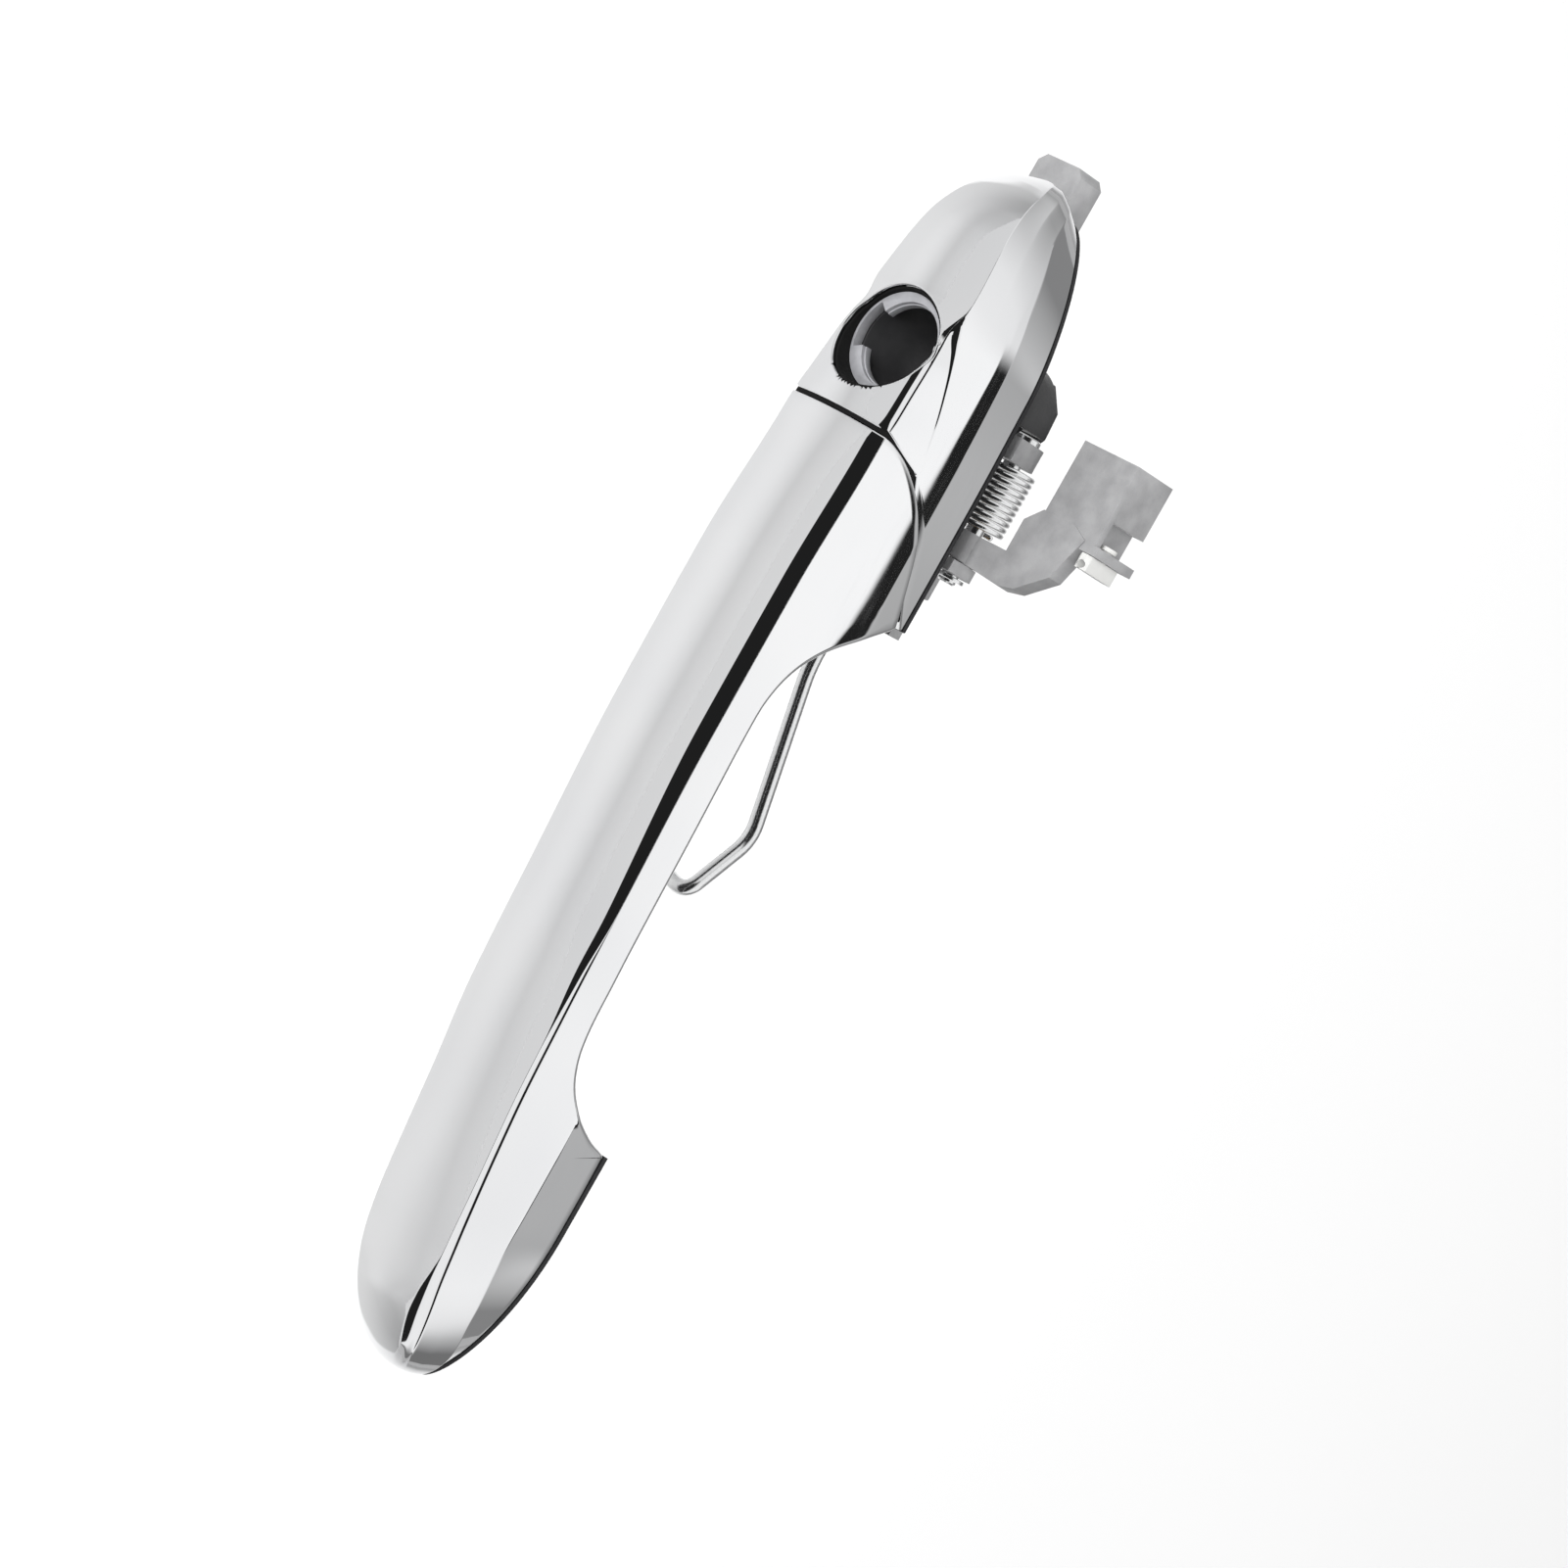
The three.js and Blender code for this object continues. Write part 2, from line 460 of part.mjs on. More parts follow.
function baseBracket() {
  const plate = throughY([[31, 9], [-12.4, 9], [-28, 6], [-38, 3.6], [-46, 0], [-46, -16], [31, -16]],
    [PLATE.y0, PLATE.y1]);
  const { x, z, corner } = TAB;
  const tab = throughY([[x[0] + corner, z[0]], [x[1], z[0]], [x[1], z[1]], [x[0] + corner, z[1]],
    [x[0], z[1] - corner], [x[0], z[0] + corner]], TAB.y);
  const holder = box(WIRE_HOLDER.x, WIRE_HOLDER.y, WIRE_HOLDER.z);
  const sideWall = box([-44, 31], [PLATE.y0, 9], [-16, -14]);
  const solid = union(plate, tab, holder, sideWall, earSolid(EAR.near), earSolid(EAR.far));
  const tunnelHole = barY(TUNNEL.body + CLEAR, [-5, 30], KEYHOLE.x, KEYHOLE.z, 36).subtract(earCorner(-CLEAR));
  const slot = box([SLOT.x0, SLOT.x1], [-5, 12], [SLOT.z0, SLOT.z1]);
  const pinHole = barX(PIVOT.pin + PIN_PLAY, [-30, 30], PIVOT.y, PIVOT.z);
  const springRoom = barX(SPRING.radius + 1.1, [EAR.far[1], HUB.x[1] + 0.1], PIVOT.y, PIVOT.z);
  const screwHoles = CAP_SCREWS.map((screw) => barY(SMALL_SCREW.hole, [-5, 9], screw.x, screw.z, 16));
  const wireHoles = WIRE.z.map((legZ) => barX(WIRE.radius + 0.1, [WIRE.start - 1, 40], WIRE.shallow + 0.5, legZ, 16));
  return solid.subtract(tunnelHole).subtract(slot).subtract(pinHole).subtract(springRoom)
    .subtract(union(...screwHoles))
    .subtract(union(...wireHoles));
}

function capScrew({ x, z, top }) {
  const head = barY(SMALL_SCREW.head, [PLATE.y1 + 0.05, PLATE.y1 + SMALL_SCREW.headHeight], x, z);
  const recess = barY(SMALL_SCREW.socket, [PLATE.y1 + 0.9, PLATE.y1 + 5], x, z, 6);
  return head.add(barY(SMALL_SCREW.radius, [-top + 1, PLATE.y1 + 0.1], x, z, 16)).subtract(recess);
}

// ---------- bell-crank on its pin ----------
const HUB = { x: [7.2, 12.8], radius: 4.1, bore: 2.75 };
const WEB = { y: [6.6, 10.4] };
const BLOCK = { x: [-17.2, -0.6], y: [7, 18.2], z: [21.8, 36.2] };
const CLIP = { x: [1.2, 4.2], y: [6.9, 16.6], z: [33.9, 36.6], corner: 0.8 };
const CLIP_TAB = { x: [-0.9, 0.9], y: [7, 18.6], z: [30.6, 37.4] };
const PEG = { y: 11.7, z: 35.4, radius: 1.1, head: 1.8 };

function bellCrank() {
  const hub = barX(HUB.radius, HUB.x, PIVOT.y, PIVOT.z);
  const fingerY = PIVOT.y + FINGER.reach * Math.sin(rad(FINGER.rest));
  const fingerZ = PIVOT.z - FINGER.reach * Math.cos(rad(FINGER.rest));
  const armWidth = 2.6;
  const across = [Math.cos(rad(FINGER.rest)), Math.sin(rad(FINGER.rest))];
  const arm = alongX([[PIVOT.y - across[0] * armWidth, PIVOT.z - across[1] * armWidth],
    [PIVOT.y + across[0] * armWidth, PIVOT.z + across[1] * armWidth],
    [fingerY + across[0] * 1.6, fingerZ + across[1] * 1.6],
    [fingerY - across[0] * 1.6, fingerZ - across[1] * 1.6]], [HUB.x[0], HUB.x[0] + 2.3]);
  const finger = barX(FINGER.radius, [HUB.x[0], 14.8], fingerY, fingerZ, 20);
  const web = throughY([[13, PIVOT.z], [13, 12.5], [13.6, 20.6], [12.8, 24.6], [8, 30.8], [5.4, 31.6], [-0.9, 33.8],
    [-2.6, 30], [-2.6, 21.8], [0.6, 18.6], [HUB.x[0], 18.6], [HUB.x[0], PIVOT.z]], WEB.y);
  const block = box(BLOCK.x, BLOCK.y, BLOCK.z);
  const bridge = box([BLOCK.x[1] - 2, 0.9], [8.4, WEB.y[1] + 2], [22.5, 33.4]);
  const notch = box([BLOCK.x[1] - 5.6, 2], [8.6, 30], [33.4, 50]);
  const clipTab = box(CLIP_TAB.x, CLIP_TAB.y, CLIP_TAB.z);
  return union(hub, arm, finger, web, block, bridge).subtract(notch).add(clipTab)
    .subtract(barX(HUB.bore, [0, 20], PIVOT.y, PIVOT.z))
    .subtract(barX(PEG.radius + CLEAR, [-3, 1.1], PEG.y, PEG.z, 16));
}

function hubBush() {
  return barX(HUB.bore - 0.1, [HUB.x[0] + 0.1, HUB.x[1] - 0.1], PIVOT.y, PIVOT.z)
    .subtract(barX(PIVOT.pin + 0.25, [0, 20], PIVOT.y, PIVOT.z));
}

function pivotPin() {
  const head = barX(2.9, [EAR.far[0] - 1.2, EAR.far[0] - 0.1], PIVOT.y, PIVOT.z);
  const groove = barX(3, [EAR.near[1] + 0.35, EAR.near[1] + 1.15], PIVOT.y, PIVOT.z)
    .subtract(barX(1.25, [0, 30], PIVOT.y, PIVOT.z));
  return barX(PIVOT.pin, [EAR.far[0] - 0.5, 17.4], PIVOT.y, PIVOT.z).add(head).subtract(groove);
}

function pinClip() {
  const thickness = [EAR.near[1] + 0.4, EAR.near[1] + 1.1];
  return barX(3.1, thickness, PIVOT.y, PIVOT.z)
    .subtract(barX(1.3, [10, 20], PIVOT.y, PIVOT.z))
    .subtract(box([10, 20], [PIVOT.y, PIVOT.y + 6], [PIVOT.z - 1.2, PIVOT.z + 1.2]));
}

// swept round wire along a curve
function wire(path, radius, steps, sides) {
  const section = new THREE.Shape(Array.from({ length: sides }, (_, i) => (
    new THREE.Vector2(radius * Math.cos(2 * Math.PI * i / sides), radius * Math.sin(2 * Math.PI * i / sides)))));
  return toSolid(new THREE.ExtrudeGeometry(section, { steps, extrudePath: path, bevelEnabled: false }));
}

class Helix extends THREE.Curve {
  getPoint(t, target = new THREE.Vector3()) {
    const angle = 2 * Math.PI * SPRING.turns * t;
    return target.set(lerp(SPRING.x0, SPRING.x1, t), PIVOT.y + SPRING.radius * Math.cos(angle),
      PIVOT.z + SPRING.radius * Math.sin(angle));
  }
}

function returnSpring() {
  return wire(new Helix(), SPRING.wire / 2, SPRING.turns * 12, 6);
}

function rodClip() {
  const { x, y: [y0, y1], z: [z0, z1], corner } = CLIP;
  const block = alongX([[y0, z0 + corner], [y0 + corner, z0], [y1 - corner, z0], [y1, z0 + corner], [y1, z1 - corner],
    [y1 - corner, z1], [y0 + corner, z1], [y0, z1 - corner]], x);
  const peg = barX(PEG.radius, [CLIP_TAB.x[0] - 0.5, x[0] + 0.2], PEG.y, PEG.z, 16);
  const pegHead = barX(PEG.head, [CLIP_TAB.x[0] - 1.1, CLIP_TAB.x[0] - CLEAR], PEG.y, PEG.z, 16);
  const rodHole = barY(0.8, [0, 30], 3.1, PEG.z, 12);
  return union(block, peg, pegHead).subtract(rodHole);
}

// sprung wire bail: two legs in the bracket, a knee in each, and a closed end
function retainingWire() {
  const [nearZ, farZ] = WIRE.z;
  const shallow = WIRE.shallow + 0.5;
  const leg = (z) => [[WIRE.start, shallow, z], [WIRE.bend, shallow, z], [...WIRE.knee, z], [...WIRE.corner, z]];
  const middle = [WIRE.corner[0] - WIRE.bow, WIRE.corner[1], (nearZ + farZ) / 2];
  const corners = [...leg(nearZ), middle, ...leg(farZ).reverse()].map((point) => new THREE.Vector3(...point));
  const path = new THREE.CurvePath();
  const bend = 3.5;
  let from = corners[0];
  for (let i = 1; i < corners.length - 1; i += 1) {
    const corner = corners[i];
    const enter = corner.clone().add(corners[i - 1].clone().sub(corner).setLength(bend));
    const leave = corner.clone().add(corners[i + 1].clone().sub(corner).setLength(bend));
    path.add(new THREE.LineCurve3(from, enter));
    path.add(new THREE.QuadraticBezierCurve3(enter, corner, leave));
    from = leave;
  }
  path.add(new THREE.LineCurve3(from, corners.at(-1)));
  return wire(path, WIRE.radius, 90, 8);
}

// ---------- the assembly ----------
const handle = new THREE.Group();
handle.name = 'car_door_handle';

function body(name, pieces) {
  const group = new THREE.Group();
  group.name = name;
  for (const [pieceName, solid, material] of pieces) {
    const mesh = new THREE.Mesh(toGeometry(solid), material);
    mesh.name = pieceName;
    group.add(mesh);
  }
  handle.add(group);
}

body('base', [
  ['key_cap', keyCap(), CHROME],
  ['rear_gasket', rearGasket(), RUBBER],
  ['front_gasket', frontGasket(), RUBBER],
  ['base_bracket', baseBracket(), ZINC],
  ['lock_tunnel', lockTunnel(), BLACK_PLASTIC],
  ['lock_ring', lockRing(), GREY_RING],
  ['bump_stop', bumpStop(), RUBBER],
  ['pivot_pin', pivotPin(), STEEL],
  ['pin_clip', pinClip(), STEEL],
  ['return_spring', returnSpring(), STEEL],
  ['retaining_wire', retainingWire(), STEEL],
  ...CAP_SCREWS.map((screw, i) => [`cap_screw_${i + 1}`, capScrew(screw), STEEL]),
  ['hinge_bracket', hingeBracket(), ZINC],
  ['hinge_pin', hingePin(), STEEL],
  ...HINGE_SCREWS.map((x, i) => [`hinge_screw_${i + 1}`, hingeScrew(x), STEEL]),
]);
body('grip', [
  ['grip_shell', gripShell(), CHROME],
  ['grip_back', gripBack(), CHROME],
  ['pull_arm', pullArm(), ZINC],
  ['pull_arm_screw', smallScrew(PULL_ARM_SCREW, 14), STEEL],
  ['hinge_arm', hingeArm(), ZINC],
  ['hinge_arm_screw', smallScrew(HINGE_ARM_SCREW, 10), STEEL],
]);
body('crank', [
  ['bell_crank', bellCrank(), ZINC],
  ['hub_bush', hubBush(), BRONZE],
]);
body('clip', [['rod_clip', rodClip(), CLIP_PLASTIC]]);

export default handle;
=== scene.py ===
"""Chrome strap door handle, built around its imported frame: fine plated shells, cast lever and bracket,
coil spring, wire bail, rubber gaskets, procedural materials, studio light and the camera."""
import json
import math

import bmesh
import bpy
import numpy as np
from mathutils import Matrix, Vector
from mathutils.geometry import delaunay_2d_cdt

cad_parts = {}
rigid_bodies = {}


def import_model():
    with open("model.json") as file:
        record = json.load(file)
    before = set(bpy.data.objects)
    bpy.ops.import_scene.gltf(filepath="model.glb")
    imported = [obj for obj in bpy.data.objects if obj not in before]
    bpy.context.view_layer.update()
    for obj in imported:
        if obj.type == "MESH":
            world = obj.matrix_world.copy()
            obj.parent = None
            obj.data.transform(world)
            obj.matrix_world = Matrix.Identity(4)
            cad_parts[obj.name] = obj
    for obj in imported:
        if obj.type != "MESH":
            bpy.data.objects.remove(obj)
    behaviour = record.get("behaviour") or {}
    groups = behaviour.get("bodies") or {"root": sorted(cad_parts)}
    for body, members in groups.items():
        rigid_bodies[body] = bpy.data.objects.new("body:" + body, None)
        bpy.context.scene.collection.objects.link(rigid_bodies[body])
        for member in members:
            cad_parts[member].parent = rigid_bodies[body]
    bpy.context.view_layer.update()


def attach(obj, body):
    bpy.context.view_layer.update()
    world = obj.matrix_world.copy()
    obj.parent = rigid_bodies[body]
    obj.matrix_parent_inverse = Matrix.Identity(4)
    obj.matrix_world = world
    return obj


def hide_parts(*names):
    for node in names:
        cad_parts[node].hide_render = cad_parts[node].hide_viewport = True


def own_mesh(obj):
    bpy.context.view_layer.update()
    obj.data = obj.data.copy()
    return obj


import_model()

MM = 0.001          # the script's lengths are millimetres in the CAD's frame; meshes are in metres

# ---------- driving dimensions: height is measured outward from the door skin, along -Y ----------
FOOT_NOSE, FOOT_BASE, FOOT_START = 191.0, 190.4, 155.0
KEY_NOSE, KEY_BASE, KEY_START = -54.8, -51.0, -18.0
GASKET, BASE = 1.0, 1.3
FOOT_END, REAR_FOOT_END = 138.9, 29.5      # where the front and the rear foot meet the hand gap
SPLIT_GAP = 0.9
SPLIT_BOW = -0.3       # how far the parting line bows towards the cap at the middle of the crown
SHELL_WALL = 1.6
PIVOT_Y, PIVOT_Z = 8.6, 7.8
KEY_X, KEY_Z, KEY_RADIUS = -14.8, 0.6, 10.7


# ---------- curves ----------
def smooth(points):
    """Monotone cubic through [x, value] points, as a function that takes arrays."""
    x, y = np.array(points, float).T
    run = np.diff(x)
    slope = np.diff(y) / run
    before, after = 2 * run[1:] + run[:-1], run[1:] + 2 * run[:-1]
    turning = slope[:-1] * slope[1:] <= 0
    safe = np.where(turning, 1.0, slope[:-1]), np.where(turning, 1.0, slope[1:])
    inner = np.where(turning, 0.0, (before + after) / (before / safe[0] + after / safe[1]))
    tangent = np.concatenate([slope[:1], inner, slope[-1:]])

    def value(at):
        at = np.clip(np.asarray(at, float), x[0], x[-1])
        i = np.clip(np.searchsorted(x, at, side="right") - 1, 0, len(x) - 2)
        t = (at - x[i]) / run[i]
        rise = y[i] * (1 + 2 * t) * (1 - t) ** 2 + y[i + 1] * t * t * (3 - 2 * t)
        return rise + run[i] * (tangent[i] * t * (1 - t) ** 2 + tangent[i + 1] * t * t * (t - 1))
    return value


def flowing(points, count):
    """count points on a Catmull-Rom curve through the given ones, evenly spaced along it."""
    p = np.array(points, float)
    ends = np.vstack([2 * p[0] - p[1], p, 2 * p[-1] - p[-2]])
    fine = []
    for i in range(len(p) - 1):
        a, b, c, d = ends[i:i + 4]
        t = np.linspace(0, 1, 24, endpoint=False)[:, None]
        fine.append(0.5 * (2 * b + (c - a) * t + (2 * a - 5 * b + 4 * c - d) * t ** 2
                           + (3 * b - a - 3 * c + d) * t ** 3))
    fine = np.vstack(fine + [p[-1:]])
    along = np.concatenate([[0], np.cumsum(np.linalg.norm(np.diff(fine, axis=0), axis=1))])
    at = np.linspace(0, along[-1], count)
    return np.column_stack([np.interp(at, along, fine[:, k]) for k in range(fine.shape[1])])


def shifted(line, distance):
    """A line in the plane moved sideways, to its left when distance is positive."""
    way = np.gradient(line, axis=0)
    way /= np.linalg.norm(way, axis=1)[:, None]
    return line + np.column_stack([-way[:, 1], way[:, 0]]) * np.reshape(distance, (-1, 1))


def lerp(a, b, t):
    return a + (b - a) * t


def ease(t):
    t = np.clip(t, 0, 1)
    return t * t * (3 - 2 * t)


# ---------- form lines of the handle, [x, value] ----------
CROWN = smooth([[-55, 27], [-40, 28.7], [-28, 30.2], [-15, 31.9], [7, 33.8], [32, 35.3], [63, 35],
                [95, 32.9], [122, 30.6], [140, 28.2], [160, 25.2], [175, 22.6], [192, 20]])
EDGE = smooth([[-54.8, 12], [-53, 15.6], [-51.5, 17.5], [-48.5, 20.7], [-45, 23.0], [-39.5, 24.9],
               [-27, 26.3], [-20, 27.3], [-9, 28.5], [-2, 29.2], [2.5, 30.1], [7, 30.2], [32, 31.5],
               [63, 31.2], [95, 29.5], [122, 27.5], [140, 25.3], [161, 22.2], [166, 21.2], [172, 19.7],
               [178, 17.4], [184, 14.5], [187, 12.6], [190, 9.5], [191, 7.5]])
EDGE_HALF = smooth([[-18, 12.3], [7, 13], [32, 13.3], [63, 13.2], [95, 12.9], [122, 12.4], [140, 11.7],
                    [161, 11.6]])
UPPER_BEVEL = smooth([[-25, 0.02], [-22, 0.3], [-20, 0.5], [-12, 0.62], [-2, 0.75], [3, 2], [60, 2],
                      [95, 1.3], [112, 0.75], [127, 0.05], [167, 0.05], [171, 0.35], [176, 0.95],
                      [183, 1.2], [188, 1.1], [191, 0.4]])
FACET = smooth([[-27, 0.02], [-20, 0.02], [-17, 0.6], [-12, 0.95], [-2, 0.9], [2.5, 0.05], [96, 0.05],
                [112, 0.5], [127, 0.9], [150, 1.0], [166, 1.5], [178, 2.0], [188, 0.8]])
LOWER_BEVEL = smooth([[-27, 0.02], [-23, 0.25], [-2, 0.28], [2.5, 0.05], [100, 0.05], [112, 0.3],
                      [188, 0.35]])
FACET_LEAN = 0.36      # how much the facet widens per millimetre of its drop
CROWN_RISE = 0.21      # most that the crown arches above its edges, per millimetre of half width
BELLY = smooth([[-55, 6], [-45, 11.6], [-34, 13.2], [-20, 13.6], [0, 13.4], [27, 13.3], [60, 22], [110, 20],
                [125, 14], [140, 12.9], [158, 12.9], [176, 8.9], [186, 4.5], [192, 3]])
BELLY_HALF = smooth([[-18, 13.3], [7, 13.7], [30, 14.0], [125, 14.1], [158, 14.2]])
BELLY_LOW = smooth([[-55, 5.9], [-45, 11.4], [-34, 11.6], [-26, 11], [-10, 10.3], [0, 10.1], [40, 10],
                    [60, 21.9], [110, 19.9], [125, 13.9], [140, 12.85], [158, 12.85], [176, 8.85],
                    [186, 4.45], [192, 2.95]])
BASE_HALF = smooth([[-18, 12.6], [3, 13.2], [30, 13.35], [140, 13.5], [158, 13.5]])
BULGE = smooth([[-55, 1.6], [-20, 1.35], [60, 1.3], [125, 1.1], [158, 1.05]])

HAND_GAP = [[FOOT_END, 0], [137.0, 7], [133.5, 13.3], [128, 18], [120, 20.6], [105, 22], [80, 23], [60, 23.8],
            [52, 23.4], [45.5, 21], [40, 16.5], [35, 10], [30.5, 3.4]]
SPLIT = [[30.5, 2.2], [27.6, 3.1], [24.4, 4.4], [20.4, 6.0], [15.4, 8.3], [10.8, 11.7], [6.7, 16], [3.5, 21],
         [1.6, 26], [0.8, 31], [0.8, 40]]

# scoop on the cap's side below its upper crease: lower border (height), depth, and width of its lip
SCOOP = smooth([[-25.5, 26.4], [-24.4, 26.5], [-20.5, 25.4], [-16.7, 24], [-11.4, 22.1], [-6.4, 20.5],
                [0, 19], [6, 18]])
SCOOP_DEPTH = smooth([[-25.5, 0], [-24.4, 0.12], [-20.5, 0.95], [-17.5, 0.6], [-14, 0.36], [-6, 0.2],
                      [0, 0.02], [1, 0]])
SCOOP_LIP = smooth([[-25.5, 0.15], [-20.5, 1.6], [-17.5, 0.8], [-14, 0.5], [-6, 0.45], [1, 0.45]])

# rows across half a section: the crown, then corner, upper bevel, corner, facet, corner, lower bevel, corner,
# then the side down to the crease above the undercut (at KNEE_ROW) and on to the lower edge
CROWN_END, SIDE_START, KNEE_ROW = 0.38, 0.60, 0.86
SIDE_TOP = 0.3         # how far below the edge the side begins
BEVEL_SHARE = 0.4      # most of the half width that the bevels take towards a nose
BELLY_SHARE = 0.75     # the belly stays below this share of the edge's height
CORNERS = ((0.38, 0.41), (0.44, 0.46), (0.50, 0.52), (0.54, 0.60))
ROWS = np.concatenate([np.linspace(0, CROWN_END, 14)[:-1], np.linspace(0.38, 0.41, 5)[:-1],
                       [0.41, 0.425], np.linspace(0.44, 0.46, 4)[:-1], [0.46, 0.48],
                       np.linspace(0.50, 0.52, 4)[:-1], [0.52, 0.53], np.linspace(0.54, 0.60, 5)[:-1],
                       np.linspace(SIDE_START, KNEE_ROW - 0.005, 24),
                       [KNEE_ROW, KNEE_ROW + 0.005], np.linspace(KNEE_ROW + 0.015, 1, 9)])


def rounding(x, start, end, power, root):
    """Share of the full width left at x where a plan outline closes from start to its end."""
    u = np.clip((x - start) / (end - start), 0, 1)
    return (1 - u ** power) ** root


def upper_round(x):
    return rounding(x, FOOT_START, FOOT_NOSE, 3, 0.42) * rounding(x, KEY_START, KEY_NOSE, 2, 0.44)


def base_round(x):
    return rounding(x, FOOT_START, FOOT_BASE, 2, 0.68) * rounding(x, KEY_START, KEY_BASE, 1.5, 0.6)


def base_x(x):
    """The base lies a little short of the nose above it: where it is below the station x."""
    foot = lerp(FOOT_START, FOOT_BASE, (x - FOOT_START) / (FOOT_NOSE - FOOT_START))
    key = lerp(KEY_START, KEY_BASE, (x - KEY_START) / (KEY_NOSE - KEY_START))
    return np.where(x > FOOT_START, foot, np.where(x < KEY_START, key, x))


def sizes(x):
    """The main sizes of the cross-section at station x, as arrays like x."""
    s = {"edge": EDGE(x), "scoop": SCOOP_DEPTH(x), "wall_half": EDGE_HALF(x) * upper_round(x)}
    s["edge_half"] = s["wall_half"] - s["scoop"]
    drops = UPPER_BEVEL(x), FACET(x), LOWER_BEVEL(x)
    step = drops[0] + drops[1] * FACET_LEAN + drops[2]
    fit = np.minimum(1, s["edge_half"] * BEVEL_SHARE / step)
    s["upper"], s["facet"], s["lower"] = (drop * fit for drop in drops)
    s["top_half"] = s["edge_half"] - step * fit
    s["crown"] = np.minimum(CROWN(x), s["edge"] + sum(drops) * fit + CROWN_RISE * s["top_half"])
    s["belly"] = np.minimum(BELLY(x), s["edge"] * BELLY_SHARE)
    s["low"] = np.minimum(BELLY_LOW(x), s["belly"] - 0.05)
    s["belly_half"] = BELLY_HALF(x) * lerp(upper_round(x), base_round(base_x(x)), 0.5)
    s["base_half"] = BASE_HALF(base_x(x)) * base_round(base_x(x))
    s["corner"] = np.minimum(0.3, 0.3 * s["upper"] + 0.05)
    return s


def side_half(x, height):
    """Half width of the side wall at a station and height: a bulge, an upright band, a slight undercut."""
    s = sizes(x)
    fall = np.clip((s["edge"] - height) / (s["edge"] - s["belly"]), 0, 1)
    bulge = s["wall_half"] + (s["belly_half"] - s["wall_half"]) * (1 - (1 - fall) ** BULGE(x))
    bulge = bulge - s["scoop"] * ease((height - SCOOP(x)) / SCOOP_LIP(x))
    under = np.clip((s["low"] - height) / (s["low"] - BASE), 0, 1)
    return np.where(height > s["low"], bulge, lerp(s["belly_half"], s["base_half"], under))


def top_section(x, v):
    """Half width and height of the rows above the side: the crown and the bevels (v up to SIDE_START)."""
    s = sizes(x)
    base = s["edge"] + s["upper"] + s["facet"] + s["lower"]
    half, height = s["top_half"], base
    knots = [(half, height)]
    for drop, lean in ((s["upper"], 1.0), (s["facet"], FACET_LEAN), (s["lower"], 1.0)):
        half, height = half + drop * lean, height - drop
        knots.append((half, height))

    def crown_at(f):
        return s["top_half"] * f, base + (s["crown"] - base) * (1 - f * f)

    last = np.clip(1 - s["corner"] / np.maximum(s["top_half"], 0.05), 0.6, 1)
    end_height = s["edge"] - SIDE_TOP
    ends = side_half(x, end_height), end_height
    result = []
    for k in (0, 1):
        before = crown_at(last)[k]
        value = crown_at(last * np.clip(v / CROWN_END, 0, 1))[k]
        for number, (first, final) in enumerate(CORNERS):
            corner = knots[number][k]
            after = ends[k] if number == 3 else lerp(corner, knots[number + 1][k], 0.3)
            t = np.clip((v - first) / (final - first), 0, 1)
            arc = before * (1 - t) ** 2 + 2 * corner * t * (1 - t) + after * t * t
            value = np.where(v > first, arc, value)
            if number < 3:
                following = lerp(corner, knots[number + 1][k], 0.7)
                t = np.clip((v - final) / (CORNERS[number + 1][0] - final), 0, 1)
                value = np.where(v > final, lerp(after, following, t), value)
                before = following
        result.append(value)
    return result


def lean_share(x, height):
    """How far a point has moved from its station towards the base's station: 0 above, 1 at the base."""
    s = sizes(x)
    middle = (s["edge"] + s["belly"]) / 2
    return np.clip((middle - height) / (middle - BASE), 0, 1) ** 1.3


def surface(x, height_or_v, on_top):
    """Outer surface point of the near side (+Z): on_top takes a row v, else a height on the side wall."""
    if on_top:
        half, height = top_section(x, height_or_v)
    else:
        height = height_or_v
        half = side_half(x, height)
    return np.stack([lerp(x, base_x(x), lean_share(x, height)), -height, half], axis=-1)


SPLIT_LINE = flowing(SPLIT, 300)


def split_x(height, shift=0.0):
    """Station of the parting line at a height, moved square to the line by shift (grip +, cap -)."""
    line = shifted(SPLIT_LINE, -shift) if shift else SPLIT_LINE
    return np.interp(height, line[:, 1], line[:, 0])


def ribbed(top, bottom, bottom_height, curve, v, shift):
    """Points on ribs that run from a station at the top edge to a station and height at the lower edge.
    All are arrays of one shape; curve is the share of the parting line's shape in the rib, moved by shift."""
    row = np.abs(v)
    bowed = top + SPLIT_BOW * curve * np.clip(1 - (row / 0.5) ** 2, 0, 1)
    above = surface(bowed, np.minimum(row, SIDE_START), True)
    s = sizes(top)
    start = s["edge"] - SIDE_TOP
    crease = np.clip((start - BELLY_LOW(bottom)) / (start - bottom_height), 0.3, 0.92)
    fall = crease * np.clip((row - SIDE_START) / (KNEE_ROW - SIDE_START), 0, 1)
    fall = fall + (1 - crease) * np.clip((row - KNEE_ROW) / (1 - KNEE_ROW), 0, 1)
    height = lerp(start, bottom_height, fall)
    toe_x, crest_x = split_x(bottom_height, shift), split_x(start, shift)
    shape_line = (split_x(height, shift) - toe_x) / (crest_x - toe_x)
    share = lerp(1 - fall, shape_line, curve)
    station = bottom + (top - bottom) * share
    below = surface(station, height, False)
    point = np.where((row <= SIDE_START)[..., None], above, below)
    point[..., 2] *= np.where(v < 0, -1, 1)
    return point


